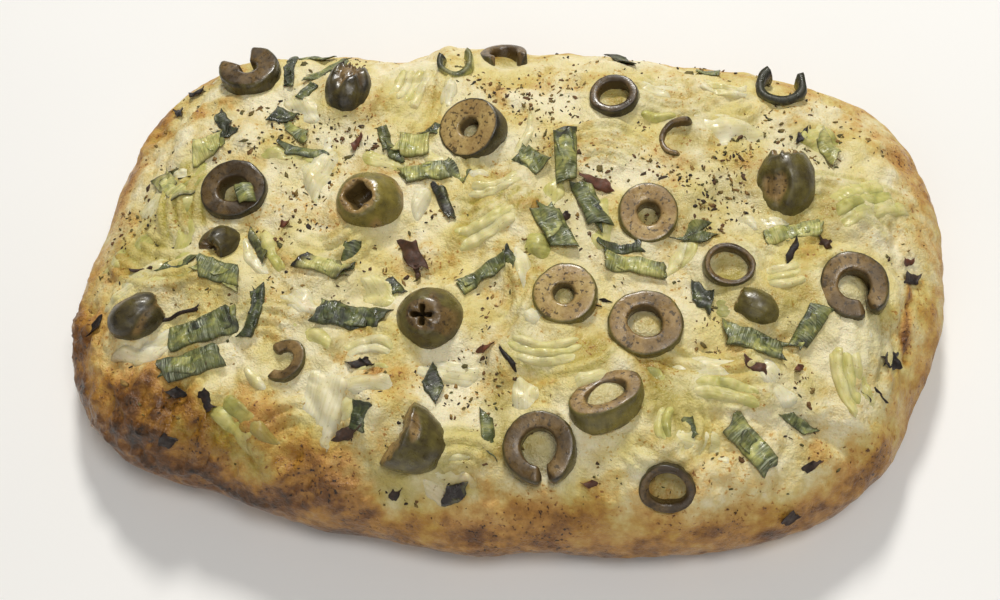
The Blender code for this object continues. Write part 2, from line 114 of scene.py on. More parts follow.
# The tin's wall kept the side smoother: the share of the relief that is left there.
SIDE_RELIEF = 0.28
# Over which heights, counted downwards, the relief and the colours of the top turn into those of the side.
RELIEF_TO_SIDE = (-0.031, -0.020)
COLOURS_TO_SIDE = (-0.030, -0.016)
# The relief dies out over the lowest millimetres, so that the base stays flat.
FLAT_BASE = (0.0, 0.004)
# How much of the relief is gone where an olive or a curl of leaf was pressed in, over how many of its radii.
PRESSED_FLAT = 0.7
PRESSED_REACH = 1.2

# Onion that the dough has grown over shows as nested bands, the onion's own layers.
# Middle x, y, inner and outer radius, first and last compass angle, distance between layers, greenness.
ONION_ARCS = [
    (0.060, 0.058, 0.0050, 0.0130, 195, 345, 0.0032, 0.25),
    (-0.029, -0.042, 0.0050, 0.0135, 10, 170, 0.0038, 0.30),
    (0.070, -0.020, 0.0270, 0.0420, -28, 26, 0.0036, 0.25),
    (0.020, -0.020, 0.0110, 0.0190, 205, 335, 0.0033, 0.60),
    (0.080, 0.017, 0.0060, 0.0190, 190, 330, 0.0036, 0.35),
    (-0.070, 0.008, 0.0150, 0.0300, 145, 215, 0.0038, 0.70),
    (-0.095, 0.006, 0.0110, 0.0260, 210, 305, 0.0036, 0.55),
    (-0.012, 0.022, 0.0080, 0.0230, 262, 350, 0.0036, 0.65),
    (0.050, -0.050, 0.0020, 0.0120, -180, 180, 0.0036, 0.40),
    (0.060, -0.004, 0.0250, 0.0400, 238, 302, 0.0038, 0.45),
    (-0.060, 0.050, 0.0180, 0.0390, -30, 28, 0.0036, 0.30),
    (0.042, 0.072, 0.0100, 0.0260, 235, 310, 0.0036, 0.40),
    (0.098, -0.012, 0.0270, 0.0440, 66, 122, 0.0036, 0.50),
    (-0.060, -0.040, 0.0070, 0.0170, 50, 160, 0.0036, 0.35),
    (-0.002, 0.027, 0.0050, 0.0120, 150, 330, 0.0034, 0.25),
    (-0.008, -0.016, 0.0120, 0.0220, -45, 40, 0.0038, 0.35),
    (0.028, 0.020, 0.0080, 0.0220, 50, 130, 0.0034, 0.45),
    (-0.050, 0.004, 0.0060, 0.0170, 230, 340, 0.0036, 0.40),
    (-0.046, -0.066, 0.0070, 0.0160, 60, 150, 0.0038, 0.30),
    (-0.002, -0.070, 0.0060, 0.0150, 40, 150, 0.0034, 0.45),
]
BAND_HEIGHT = 0.0012
BAND_WANDER = (0.0012, 85)
# How soft the inner and outer edge of the bands are, and the share of their half turn where they start to fade.
BAND_EDGE = 0.001
BAND_FADE = 0.72
# How green it is between the ridges, and how much less on top of them.
BAND_GREENNESS = (1.25, 0.7)

# Folds, ridges and cracks: start x, y, end x, y, half width, height.
DOUGH_FOLDS = [
    (0.086, -0.044, 0.116, -0.054, 0.0022, -0.0016),
    (0.114, 0.000, 0.113, -0.020, 0.0011, -0.0010),
    (0.002, -0.002, 0.008, -0.013, 0.0026, 0.0011),
    (0.008, -0.013, 0.011, -0.024, 0.0026, 0.0010),
    (-0.102, -0.036, -0.099, -0.050, 0.0018, 0.0013),
    (-0.109, -0.035, -0.107, -0.052, 0.0030, 0.0010),
    (-0.035, -0.047, -0.019, -0.042, 0.0026, 0.0013),
    (-0.044, -0.062, -0.034, -0.052, 0.0035, 0.0010),
    (-0.036, -0.062, -0.033, -0.050, 0.0009, -0.0007),
    (-0.092, -0.060, -0.078, -0.058, 0.0030, 0.0013),
    (0.056, -0.060, 0.074, -0.060, 0.0045, 0.0012),
    (0.060, -0.068, 0.088, -0.066, 0.0016, -0.0010),
    (-0.052, -0.022, -0.030, -0.018, 0.0026, -0.0009),
    (0.050, 0.061, 0.058, 0.054, 0.0014, 0.0008),
    (0.058, 0.054, 0.070, 0.060, 0.0014, 0.0008),
    (-0.070, -0.074, -0.040, -0.078, 0.0022, 0.0010),
    (-0.012, 0.028, -0.002, 0.022, 0.0010, 0.0007),
    (-0.002, 0.022, 0.006, 0.030, 0.0010, 0.0007),
]

# Where the crust is toasted: start x, y, end x, y, half width, how brown.
TOASTED = [
    (-0.116, -0.036, -0.102, -0.058, 0.0150, 0.30),
    (-0.100, -0.058, -0.070, -0.070, 0.0110, 0.30),
    (-0.092, -0.050, -0.078, -0.056, 0.0070, 0.26),
    (-0.118, -0.030, -0.116, -0.034, 0.0030, 0.20),
    (-0.090, -0.046, -0.080, -0.050, 0.0050, 0.10),
    (-0.056, -0.062, -0.034, -0.066, 0.0080, 0.24),
    (-0.050, -0.072, -0.028, -0.074, 0.0060, 0.26),
    (-0.062, -0.050, -0.058, -0.054, 0.0050, 0.16),
    (-0.033, -0.046, -0.020, -0.042, 0.0045, 0.14),
    (-0.098, -0.064, -0.060, -0.078, 0.0060, 0.22),
    (-0.010, -0.072, 0.030, -0.074, 0.0060, 0.22),
    (0.000, -0.066, 0.006, -0.068, 0.0045, 0.16),
    (0.032, -0.068, 0.046, -0.067, 0.0050, 0.22),
    (0.060, -0.064, 0.070, -0.062, 0.0060, 0.15),
    (0.050, -0.076, 0.076, -0.076, 0.0060, 0.14),
    (0.088, -0.052, 0.098, -0.056, 0.0070, 0.14),
    (0.104, -0.050, 0.112, -0.047, 0.0050, 0.14),
    (0.116, -0.030, 0.112, -0.044, 0.0060, 0.14),
    (0.114, 0.004, 0.113, -0.020, 0.0011, 0.55),
    (0.118, 0.022, 0.121, 0.016, 0.0030, 0.12),
    (0.110, 0.042, 0.120, 0.036, 0.0055, 0.22),
    (0.098, 0.053, 0.108, 0.046, 0.0045, 0.18),
    (0.084, 0.062, 0.096, 0.058, 0.0050, 0.10),
    (-0.098, 0.042, -0.088, 0.045, 0.0035, 0.24),
    (-0.110, 0.036, -0.098, 0.038, 0.0060, 0.16),
    (-0.104, 0.026, -0.102, 0.030, 0.0035, 0.16),
    (-0.118, 0.026, -0.112, 0.040, 0.0050, 0.24),
    (-0.122, -0.006, -0.120, -0.028, 0.0050, 0.26),
    (-0.114, -0.016, -0.110, -0.013, 0.0030, 0.16),
    (-0.080, 0.038, -0.072, 0.042, 0.0045, 0.10),
    (0.004, 0.040, 0.014, 0.036, 0.0050, 0.10),
    (-0.008, 0.052, -0.004, 0.048, 0.0025, 0.18),
    (0.008, 0.062, 0.010, 0.064, 0.0025, 0.16),
    (-0.026, 0.036, -0.020, 0.040, 0.0022, 0.20),
    (0.001, -0.018, 0.008, -0.026, 0.0040, 0.14),
    (-0.001, -0.006, 0.004, -0.004, 0.0028, 0.12),
    (0.004, 0.012, 0.008, 0.010, 0.0030, 0.10),
    (-0.050, -0.024, -0.048, -0.026, 0.0016, 0.24),
    (-0.058, -0.034, -0.056, -0.035, 0.0018, 0.26),
    (-0.028, -0.042, -0.027, -0.044, 0.0018, 0.22),
    (-0.040, -0.039, -0.038, -0.039, 0.0016, 0.30),
    (0.018, -0.041, 0.024, -0.040, 0.0022, 0.16),
    (0.058, -0.026, 0.066, -0.024, 0.0040, 0.10),
    (0.046, -0.058, 0.060, -0.057, 0.0020, 0.16),
    (0.052, 0.026, 0.070, 0.030, 0.0080, 0.06),
    (-0.074, -0.044, -0.066, -0.046, 0.0040, 0.10),
]

# Where oil and onion juice soaked in and the dough is greener and see-through: the same columns.
MOIST = [
    (-0.090, 0.014, -0.086, 0.004, 0.0060, 0.50),
    (-0.104, 0.010, -0.100, 0.002, 0.0050, 0.25),
    (-0.112, -0.006, -0.100, -0.008, 0.0050, 0.45),
    (-0.094, -0.024, -0.086, -0.020, 0.0040, 0.40),
    (-0.074, -0.022, -0.066, -0.024, 0.0060, 0.45),
    (-0.052, -0.020, -0.040, -0.018, 0.0045, 0.45),
    (-0.048, -0.031, -0.042, -0.036, 0.0035, 0.70),
    (-0.084, -0.058, -0.070, -0.062, 0.0070, 0.65),
    (-0.072, -0.056, -0.056, -0.068, 0.0050, 0.70),
    (-0.014, -0.066, -0.002, -0.066, 0.0060, 0.55),
    (-0.026, -0.066, -0.018, -0.072, 0.0050, 0.60),
    (0.006, -0.046, 0.010, -0.060, 0.0035, 0.80),
    (-0.062, -0.012, -0.060, 0.000, 0.0030, 0.40),
    (-0.066, 0.024, -0.056, 0.026, 0.0050, 0.45),
    (-0.040, 0.022, -0.028, 0.026, 0.0050, 0.45),
    (-0.058, 0.048, -0.046, 0.036, 0.0070, 0.25),
    (0.012, 0.030, 0.020, 0.018, 0.0050, 0.55),
    (0.016, 0.012, 0.030, 0.004, 0.0070, 0.40),
    (0.050, 0.014, 0.060, 0.020, 0.0070, 0.50),
    (0.064, -0.010, 0.076, -0.014, 0.0070, 0.75),
    (0.070, 0.026, 0.090, 0.018, 0.0080, 0.55),
    (0.084, 0.044, 0.090, 0.042, 0.0060, 0.55),
    (0.046, -0.036, 0.050, -0.046, 0.0050, 0.85),
    (0.084, -0.008, 0.088, -0.018, 0.0050, 0.50),
    (0.080, -0.030, 0.090, -0.034, 0.0060, 0.35),
    (0.104, -0.012, 0.106, -0.028, 0.0040, 0.35),
    (0.066, -0.071, 0.082, -0.070, 0.0035, 0.70),
    (0.010, -0.028, 0.030, -0.030, 0.0060, 0.35),
    (0.052, 0.040, 0.066, 0.042, 0.0080, 0.25),
    (0.050, 0.004, 0.056, 0.008, 0.0050, 0.35),
    (0.040, 0.046, 0.050, 0.046, 0.0030, 0.45),
    (-0.006, 0.026, 0.004, 0.026, 0.0050, 0.25),
    (0.012, 0.000, 0.012, -0.004, 0.0035, 0.60),
    (0.026, -0.078, 0.040, -0.078, 0.0060, 0.50),
    (-0.004, -0.028, -0.002, -0.022, 0.0040, 0.20),
]

# Where the olives were pressed in, and how high the dough rose in the hole of each slice.
# Slices: x, y, radius, lowest and highest cut, hole, opening, lean to, lean, turn, rise, oval.
OLIVE_RINGS = [
    (-0.0840, 0.0560, 0.0100, -0.0040, 0.0040, 0.0030, 50, 120, 14, 155, 0.0015, 0.90),
    (-0.0070, 0.0685, 0.0075, -0.0030, 0.0030, 0.0044, 95, 95, 35, 345, 0.0015, 0.95),
    (-0.0113, 0.0353, 0.0095, -0.0035, 0.0030, 0.0030, 0, 215, 24, 0, 0.0025, 0.95),
    (0.0285, 0.0505, 0.0074, -0.0030, 0.0032, 0.0046, 0, 200, 6, 0, 0.0017, 0.95),
    (0.0488, 0.0385, 0.0068, -0.0020, 0.0024, 0.0050, 150, 200, 12, 65, 0.0010, 0.95),
    (-0.0778, 0.0105, 0.0097, -0.0035, 0.0028, 0.0045, 0, 250, 6, 0, 0.0012, 0.95),
    (0.0410, 0.0120, 0.0094, -0.0032, 0.0028, 0.0036, 0, 300, 8, 90, 0.0014, 0.88),
    (0.0640, -0.0030, 0.0069, -0.0024, 0.0026, 0.0051, 0, 300, 12, 0, 0.0022, 0.92),
    (0.0978, -0.0045, 0.0100, -0.0034, 0.0032, 0.0045, 12, 250, 8, 305, 0.0018, 0.95),
    (0.0210, -0.0160, 0.0092, -0.0034, 0.0032, 0.0031, 0, 250, 6, 0, 0.0018, 0.96),
    (0.0432, -0.0225, 0.0099, -0.0034, 0.0030, 0.0046, 0, 280, 6, 0, 0.0016, 0.96),
    (-0.0530, -0.0405, 0.0064, -0.0022, 0.0022, 0.0030, 85, 200, 10, 225, 0.0008, 0.95),
    (0.0184, -0.0584, 0.0100, -0.0042, 0.0038, 0.0050, 14, 260, 10, 292, 0.0018, 0.96),
    (0.0348, -0.0452, 0.0108, -0.0050, 0.0034, 0.0060, 0, 115, 24, 35, 0.0010, 0.66),
    (0.0520, -0.0640, 0.0074, -0.0030, 0.0026, 0.0048, 0, 275, 38, 0, -0.0002, 0.94),
]
HOLE_FILLS = [
    0.0000, 0.0010, 0.0020, 0.0010, 0.0006, -0.0020, -0.0015, 0.0012,
    0.0024, 0.0020, 0.0024, 0.0006, 0.0006, 0.0014, -0.0030,
]
HOLE_MOISTURE = 0.6
# Olives left whole: x, y, radius, height of the cut end, hole, hole depth, lean to, lean, rise, oval.
WHOLE_OLIVES = [
    (-0.0510, 0.0480, 0.0070, 0.0080, 0.0032, 0.0050, 85, 72, 0.0022, 0.95),
    (0.0790, 0.0255, 0.0084, 0.0090, 0.0028, 0.0040, 100, 58, 0.0004, 0.95),
    (-0.0795, -0.0060, 0.0052, 0.0040, 0.0018, 0.0020, 240, 66, 0.0006, 1.00),
    (-0.0370, 0.0095, 0.0096, 0.0100, 0.0040, 0.0070, 222, 19, -0.0012, 0.98),
    (0.0715, -0.0135, 0.0056, 0.0050, 0.0022, 0.0030, 160, 82, -0.0006, 0.95),
    (-0.0150, -0.0250, 0.0094, 0.0106, 0.0022, 0.0050, 243, 18, -0.0014, 0.98),
    (-0.0990, -0.0290, 0.0066, 0.0072, 0.0028, 0.0050, 35, 84, 0.0018, 1.00),
    (-0.0175, -0.0590, 0.0096, 0.0022, 0.0034, 0.0060, 165, 62, 0.0012, 1.00),
]
# Where the onion slices and the spring onion were strewn: x, y, length, width, turn, bend.
ONION_SLICES = [
    (-0.0622, -0.0590, 0.0220, 0.0070, -36, 8),
    (-0.0408, -0.0500, 0.0160, 0.0090, 82, 24),
    (-0.0300, -0.0345, 0.0180, 0.0046, 4, -95),
    (0.0170, -0.0335, 0.0240, 0.0064, 2, 70),
    (0.0980, -0.0310, 0.0220, 0.0080, -68, 50),
    (0.0792, -0.0040, 0.0130, 0.0070, 16, 60),
    (0.1010, 0.0240, 0.0240, 0.0110, 32, -16),
    (0.0660, -0.0390, 0.0230, 0.0054, -6, -26),
    (0.0495, -0.0500, 0.0130, 0.0042, -84, 100),
    (-0.0030, 0.0040, 0.0200, 0.0060, 32, 18),
    (-0.0020, 0.0170, 0.0180, 0.0044, 22, 60),
    (-0.0330, 0.0530, 0.0180, 0.0100, 80, 0),
    (0.0600, 0.0575, 0.0180, 0.0044, -2, 95),
]
SPRING_ONION_PIECES = [
    (-0.0725, 0.0585, 0.0170, 0.0036, -79, 14),
    (-0.0985, 0.0125, 0.0150, 0.0062, -40, 8),
    (-0.0905, 0.0265, 0.0092, 0.0078, 28, 0),
    (-0.0280, 0.0305, 0.0086, 0.0080, 4, 0),
    (-0.0235, 0.0205, 0.0130, 0.0062, 12, 0),
    (-0.0770, -0.0155, 0.0130, 0.0066, -14, 0),
    (0.0165, 0.0285, 0.0170, 0.0064, 97, 0),
    (0.0070, 0.0265, 0.0086, 0.0064, -32, 0),
    (0.0250, 0.0135, 0.0150, 0.0062, -62, 0),
    (0.0160, 0.0040, 0.0130, 0.0074, -58, 0),
    (0.0810, 0.0108, 0.0160, 0.0048, 16, -30),
    (0.0390, -0.0050, 0.0165, 0.0052, -4, 12),
    (0.0718, -0.0238, 0.0160, 0.0064, -12, 0),
    (0.0866, -0.0176, 0.0130, 0.0054, 62, 0),
    (0.0728, -0.0520, 0.0150, 0.0066, -42, 0),
    (-0.0030, -0.0105, 0.0150, 0.0046, 40, -30),
    (-0.0475, -0.0120, 0.0140, 0.0056, -10, 0),
    (-0.0368, -0.0265, 0.0190, 0.0070, -2, 0),
    (-0.0785, -0.0325, 0.0200, 0.0076, 20, 0),
    (-0.0800, -0.0425, 0.0170, 0.0074, 20, 0),
    (-0.0640, -0.0276, 0.0150, 0.0040, 84, 46),
]
# Curls of spring onion that stand open: x, y, radius, hole, height, opening, turn, rise.
SPRING_ONION_RINGS = [
    (-0.0205, 0.0615, 0.0056, 0.0040, 0.0046, 90, 155, 0.0014),
    (0.0765, 0.0625, 0.0072, 0.0050, 0.0064, 90, 125, 0.0016),
]
# How far the dough rose round the olives, the onion slices and the spring onion, and how wide that bank is.
OLIVE_BANK = (0.0013, 0.0028)
ONION_BANK = (0.0016, 0.0022)
SPRING_ONION_BANK = (0.0006, 0.0016)
# The dough under an onion slice is smooth: how much of the blisters and ridges is gone, and how far past the slice.
SMOOTH_UNDER_SLICE = (1.0, 0.0016)
# Where along a strip its bed bends, as shares of its length from the middle.
BED_BENDS = (-0.45, -0.15, 0.15, 0.45)

# From which to which share of the way out the edge browns, and how brown it gets.
EDGE_BROWNING = (0.86, 1.02, 0.20)
# How brown the back side is and how much darker the front side is, that extra darkness being painted shade, from
# where to where they change, and how much the marks show there.
SIDE_BROWN_AND_FRONT_SHADE = (0.34, 0.56)
BACK_TO_SHADED_FRONT = (0.010, 0.070)
MARKS_ON_SIDE = 0.3
TINY = 1e-9


def sum_of_marks(x, y, marks, joined=np.add):
    """What marks add up to at each place: a mark fades with the distance from its own line."""
    total = np.zeros_like(x)
    for x0, y0, x1, y1, half_width, amount in marks:
        run, rise = x1 - x0, y1 - y0
        along = ((x - x0) * run + (y - y0) * rise) / max(run * run + rise * rise, TINY)
        along = np.clip(along, 0.0, 1.0)
        distance = np.hypot(x - x0 - along * run, y - y0 - along * rise)
        total = joined(total, amount * np.exp(-((distance / half_width) ** 2)))
    return total


def smooth_step(values, low, high):
    part = np.clip((values - low) / (high - low), 0.0, 1.0)
    return part * part * (3 - 2 * part)


def ripple(places, pitch, seed=0.0):
    """Noise between about -1 and 1 at each place, with so many bumps to the metre."""
    shift = Vector((seed, seed, seed))
    return np.array([noise.noise(Vector(place) * pitch + shift) for place in places])


def edge_radius(angle):
    """Distance from the middle to the widest line of the loaf, in plan."""
    across = np.abs(np.cos(angle)) / (LENGTH / 2)
    along = np.abs(np.sin(angle)) / (WIDTH / 2)
    plain = (across**CORNER_POWER + along**CORNER_POWER) ** (-1 / CORNER_POWER)
    stops = np.array(sorted(EDGE_SWELL))
    swells = np.array([EDGE_SWELL[stop] for stop in stops])
    degrees = np.degrees(angle) % 360
    after = np.clip(np.searchsorted(stops, degrees), 1, len(stops) - 1)
    part = smooth_step(degrees, stops[after - 1], stops[after])
    return plain + swells[after - 1] * (1 - part) + swells[after] * part


def top_height(x, y):
    """Height of the loaf's top at places in plan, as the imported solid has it."""
    reach = np.minimum(1.0, np.hypot(x, y) / edge_radius(np.arctan2(y, x)))
    fall = (1 - reach**SHOULDER_POWER) ** (1 / CROWN_POWER)
    places = np.stack([x, y, np.zeros_like(x)], -1)
    relief = sum(height * ripple(places, pitch) for height, pitch in TOP_BUMPS)
    relief = relief + sum_of_marks(x, y, [(*row[:2], *row[:2], *row[2:]) for row in TOP_SWELLS])
    relief = relief + sum_of_marks(x, y, COVERED_ONION)
    return WAIST_HEIGHT + (HEIGHT - WAIST_HEIGHT + relief) * fall


def dough_relief(x, y, z):
    """What the oven added to the plain form: lumps with creases between them, finer unevenness and folds."""
    places = np.stack([x, y, z], -1)
    relief = sum(height * (np.abs(ripple(places, pitch, 3.0)) - CREASE_LEVEL) for height, pitch in CREASED_LUMPS)
    relief = relief + sum(height * ripple(places, pitch) for height, pitch in FINE_LUMPS)
    relief = relief + sum_of_marks(x, y, DOUGH_FOLDS)
    pressed = np.zeros_like(x)
    for at_x, at_y, radius in [row[:3] for row in OLIVE_RINGS + WHOLE_OLIVES + SPRING_ONION_RINGS]:
        distance = np.hypot(x - at_x, y - at_y)
        pressed = np.maximum(pressed, PRESSED_FLAT * np.exp(-((distance / (PRESSED_REACH * radius)) ** 4)))
    relief = relief * (1 - pressed)
    return relief * (1 - (1 - SIDE_RELIEF) * smooth_step(-z, *RELIEF_TO_SIDE))


def dough_height(x, y):
    """Height of the baked dough at places in plan, which all that lies on it follows."""
    z = top_height(x, y)
    return z + dough_relief(x, y, z)


def browning(x, y):
    """How toasted the top is at places in plan: more towards the edge and at its own marks."""
    low_reach, high_reach, edge_brown = EDGE_BROWNING
    reach = np.hypot(x, y) / edge_radius(np.arctan2(y, x))
    return edge_brown * smooth_step(reach, low_reach, high_reach) + sum_of_marks(x, y, TOASTED)


def onion_bands(x, y):
    """Nested onion layers under the dough's skin: how high the ridges stand, and how green it is there."""
    ridges, green = np.zeros_like(x), np.zeros_like(x)
    wander, pitch = BAND_WANDER
    green_between, less_on_ridge = BAND_GREENNESS
    wandering = wander * ripple(np.stack([x, y, np.zeros_like(x)], -1), pitch, 9.0)
    for middle_x, middle_y, inner, outer, first, last, between, tone in ONION_ARCS:
        distance = np.hypot(x - middle_x, y - middle_y) + wandering
        off = np.degrees(np.arctan2(y - middle_y, x - middle_x)) - (first + last) / 2
        off = np.abs((off + 180) % 360 - 180)
        half_turn = (last - first) / 2
        inside = smooth_step(distance, inner - BAND_EDGE, inner + BAND_EDGE)
        inside = inside * smooth_step(-distance, -outer - BAND_EDGE, -outer)
        inside = inside * smooth_step(-off, -half_turn, -BAND_FADE * half_turn)
        ridge = np.abs(np.cos(math.pi * (distance - inner) / between))
        ridges = np.maximum(ridges, inside * ridge)
        green = np.maximum(green, inside * tone * (green_between - less_on_ridge * ridge))
    return ridges, green


def beds(rows, bank):
    """Marks along the strips of a table, each on its bend: the dough rose to their sides."""
    height, spread = bank
    marks = []
    for x, y, length, width, turn, bend in rows:
        corners = []
        for share in BED_BENDS:
            step = Vector((share * length, 0.0))
            if bend:
                ring = length / math.radians(bend)
                angle = share * math.radians(bend)
                step = Vector((ring * math.sin(angle), ring - ring * math.cos(angle)))
            step.rotate(Matrix.Rotation(math.radians(turn), 2))
            corners.append((x + step.x, y + step.y))
        marks += [(*start, *end, width / 2 + spread, height) for start, end in zip(corners, corners[1:])]
    return marks


def draw_out_rim(shape, reach, inset, height=None):
    """Extrudes the open rim to a share of the loaf's edge, less an inset, at a height or else on its top."""
    rim = [edge for edge in shape.edges if edge.is_boundary]
    drawn = bmesh.ops.extrude_edge_only(shape, edges=rim)["geom"]
    corners = [part for part in drawn if isinstance(part, bmesh.types.BMVert)]
    angle = np.array([math.atan2(corner.co.y, corner.co.x) for corner in corners])
    distance = edge_radius(angle) * reach - inset
    x, y = distance * np.cos(angle), distance * np.sin(angle)
    z = top_height(x, y) if height is None else np.full_like(x, height)
    for corner, place in zip(corners, np.stack([x, y, z], -1)):
        corner.co = place


def loaf_shape():
    """A grid bent to the loaf's top, its rim drawn out over the shoulder and down the side to a flat base."""
    shape = bmesh.new()
    bmesh.ops.create_grid(shape, x_segments=GRID_CELLS[0], y_segments=GRID_CELLS[1], size=1)
    flat = np.array([vertex.co[:2] for vertex in shape.verts])
    angle = np.arctan2(flat[:, 1] * WIDTH, flat[:, 0] * LENGTH)
    distance = np.abs(flat).max(1) * GRID_REACH * edge_radius(angle)
    x, y = distance * np.cos(angle), distance * np.sin(angle)
    for vertex, place in zip(shape.verts, np.stack([x, y, top_height(x, y)], -1)):
        vertex.co = place
    first_fall = (1 - GRID_REACH**SHOULDER_POWER) ** (1 / CROWN_POWER)
    for ring in range(1, SHOULDER_RINGS + 1):
        fall = first_fall * (1 - ring / SHOULDER_RINGS)
        draw_out_rim(shape, (1 - fall**CROWN_POWER) ** (1 / SHOULDER_POWER), 0.0)
    for ring in range(1, SIDE_RINGS + 1):
        part = ring / SIDE_RINGS
        draw_out_rim(shape, 1.0, BASE_INSET * part**BASE_INSET_POWER, WAIST_HEIGHT * (1 - part))
    bmesh.ops.contextual_create(shape, geom=[edge for edge in shape.edges if edge.is_boundary])
    bmesh.ops.recalc_face_normals(shape, faces=shape.faces)
    return shape


def finished_dough():
    """The loaf with its lumps, folds, blisters and banks, and with its marks of browning and moisture."""
    mesh = bpy.data.meshes.new("focaccia_dough")
    shape = loaf_shape()
    shape.to_mesh(mesh)
    shape.free()
    places = np.zeros(len(mesh.vertices) * 3, np.float32)
    normals = np.zeros_like(places)
    mesh.vertices.foreach_get("co", places)
    mesh.vertices.foreach_get("normal", normals)
    places, normals = places.reshape(-1, 3).astype(float), normals.reshape(-1, 3).astype(float)
    x, y, z = places.T

    on_side = smooth_step(-z, *COLOURS_TO_SIDE)
    marks = sum_of_marks(x, y, TOASTED)
    # The front side is darker than the back by painted shade. It goes into the toasted value along with the crust's
    # own browning.
    back_brown, front_brown_and_shade = SIDE_BROWN_AND_FRONT_SHADE
    side_brown_and_shade = back_brown + (front_brown_and_shade - back_brown) * smooth_step(-y, *BACK_TO_SHADED_FRONT)
    toasted = browning(x, y) * (1 - on_side) + (side_brown_and_shade + MARKS_ON_SIDE * marks) * on_side
    moist = sum_of_marks(x, y, MOIST) * (1 - on_side)
    ridges, green = onion_bands(x, y)

    relief = dough_relief(x, y, z)
    under_slices = sum_of_marks(x, y, beds(ONION_SLICES, SMOOTH_UNDER_SLICE), np.maximum)
    craggy = smooth_step(marks, *BLISTERED_TOAST) * smooth_step(z, *BLISTERED_HEIGHTS) * (1 - under_slices)
    blisters = sum(height * (BLISTER_LEVEL - np.abs(ripple(places, pitch, 5.0))) for height, pitch in BLISTERS)
    relief += craggy * blisters
    toasted = toasted + BLISTER_BROWNING * craggy * blisters
    relief += BAND_HEIGHT * ridges * (1 - on_side) * (1 - under_slices)
    relief += sum_of_marks(x, y, beds(ONION_SLICES, ONION_BANK), np.maximum)
    relief += sum_of_marks(x, y, beds(SPRING_ONION_PIECES, SPRING_ONION_BANK), np.maximum)
    bank_height, bank_width = OLIVE_BANK
    for row, fill in zip(OLIVE_RINGS, HOLE_FILLS):
        in_hole = np.exp(-((np.hypot(x - row[0], y - row[1]) / row[5]) ** 4))
        relief += fill * in_hole
        moist += HOLE_MOISTURE * in_hole
    for at_x, at_y, radius in [row[:3] for row in OLIVE_RINGS + WHOLE_OLIVES]:
        distance = np.hypot(x - at_x, y - at_y)
        relief += bank_height * np.exp(-(((distance - radius) / bank_width) ** 2))
    places += normals * (relief * smooth_step(z, *FLAT_BASE))[:, None]

    mesh.vertices.foreach_set("co", places.astype(np.float32).ravel())
    for name, values in {"toasted": toasted, "moist": moist, "layered": green * (1 - on_side)}.items():
        mesh.attributes.new(name, "FLOAT", "POINT").data.foreach_set("value", values.astype(np.float32))
    return mesh


def add_node(tree, kind, inputs=None, **settings):
    """Adds a shader node. An input is given as a value or as another node's output."""
    made = tree.nodes.new("ShaderNode" + kind)
    for name, value in settings.items():
        setattr(made, name, value)
    for name, value in (inputs or {}).items():
        if isinstance(value, bpy.types.NodeSocket):
            tree.links.new(value, made.inputs[name])
        else:
            made.inputs[name].default_value = value
    return made


def new_material(name, roughness, **constants):
    """A material with its Principled shader, whose even values are set on its own sockets."""
    made = bpy.data.materials.new(name)
    made.use_nodes = True
    shader = made.node_tree.nodes["Principled BSDF"]
    shader.inputs["Roughness"].default_value = roughness
    for socket, value in constants.items():
        shader.inputs[socket.replace("_", " ")].default_value = value
    return made, made.node_tree, shader


def new_group(name, inputs, outputs):
    """An empty shader group with named sockets: each input has its first value."""
    group = bpy.data.node_groups.new(name, "ShaderNodeTree")
    for socket, value in inputs.items():
        group.interface.new_socket(socket, in_out="INPUT", socket_type="NodeSocketFloat").default_value = value
    for socket in outputs:
        group.interface.new_socket(socket, in_out="OUTPUT", socket_type="NodeSocketFloat")
    return group, group.nodes.new("NodeGroupInput").outputs, group.nodes.new("NodeGroupOutput").inputs


def colour(red, green, blue):
    """A colour given as it looks on a screen, from 0 to 255, as the shader's linear values."""
    return (*(((part / 255 + 0.055) / 1.055) ** 2.4 for part in (red, green, blue)), 1.0)


def mixed(tree, factor, first, second, blend="MIX"):
    made = add_node(tree, "Mix", {0: factor, 6: first, 7: second}, data_type="RGBA", blend_type=blend)
    return made.outputs[2]


def mapped(tree, value, low, high, to_low=0.0, to_high=1.0):
    inputs = {"Value": value, "From Min": low, "From Max": high, "To Min": to_low, "To Max": to_high}
    return add_node(tree, "MapRange", inputs).outputs["Result"]


def worked_out(tree, operation, first, second):
    return add_node(tree, "Math", {0: first, 1: second}, operation=operation).outputs[0]


def noise_on(tree, place, pitch, detail=3.0, roughness=0.55, distortion=0.0):
    inputs = {"Vector": place, "Scale": pitch, "Detail": detail}
    inputs.update({"Roughness": roughness, "Distortion": distortion})
    return add_node(tree, "TexNoise", inputs).outputs["Fac"]


def stretched(tree, place, scale):
    return add_node(tree, "Mapping", {"Vector": place, "Scale": scale}).outputs["Vector"]


def attribute(tree, name, output="Fac"):
    return add_node(tree, "Attribute", attribute_name=name).outputs[output]


def colour_ramp(tree, value, stops):
    ramp = add_node(tree, "ValToRGB", {"Fac": value})
    for position, tone in stops[1:-1]:
        ramp.color_ramp.elements.new(position).color = tone
    ramp.color_ramp.elements[0].color = stops[0][1]
    ramp.color_ramp.elements[-1].color = stops[-1][1]
    return ramp.outputs["Color"]


def film_of_oil():
    """Where oil lies on food: it turns a dry roughness into a shiny one in pools."""
    inputs = {"Pools": 120.0, "Dry": 0.6, "Oily": 0.25, "Amount": 0.4}
    group, given, wanted = new_group("film_of_oil", inputs, ["Roughness"])
    place = add_node(group, "TexCoord").outputs["Object"]
    pools = noise_on(group, place, given["Pools"], 4.0, 0.6, 0.6)
    start = worked_out(group, "SUBTRACT", 0.85, given["Amount"])
    film = mapped(group, pools, start, worked_out(group, "ADD", start, 0.14))
    group.links.new(mapped(group, film, 0.0, 1.0, given["Dry"], given["Oily"]), wanted["Roughness"])
    return group


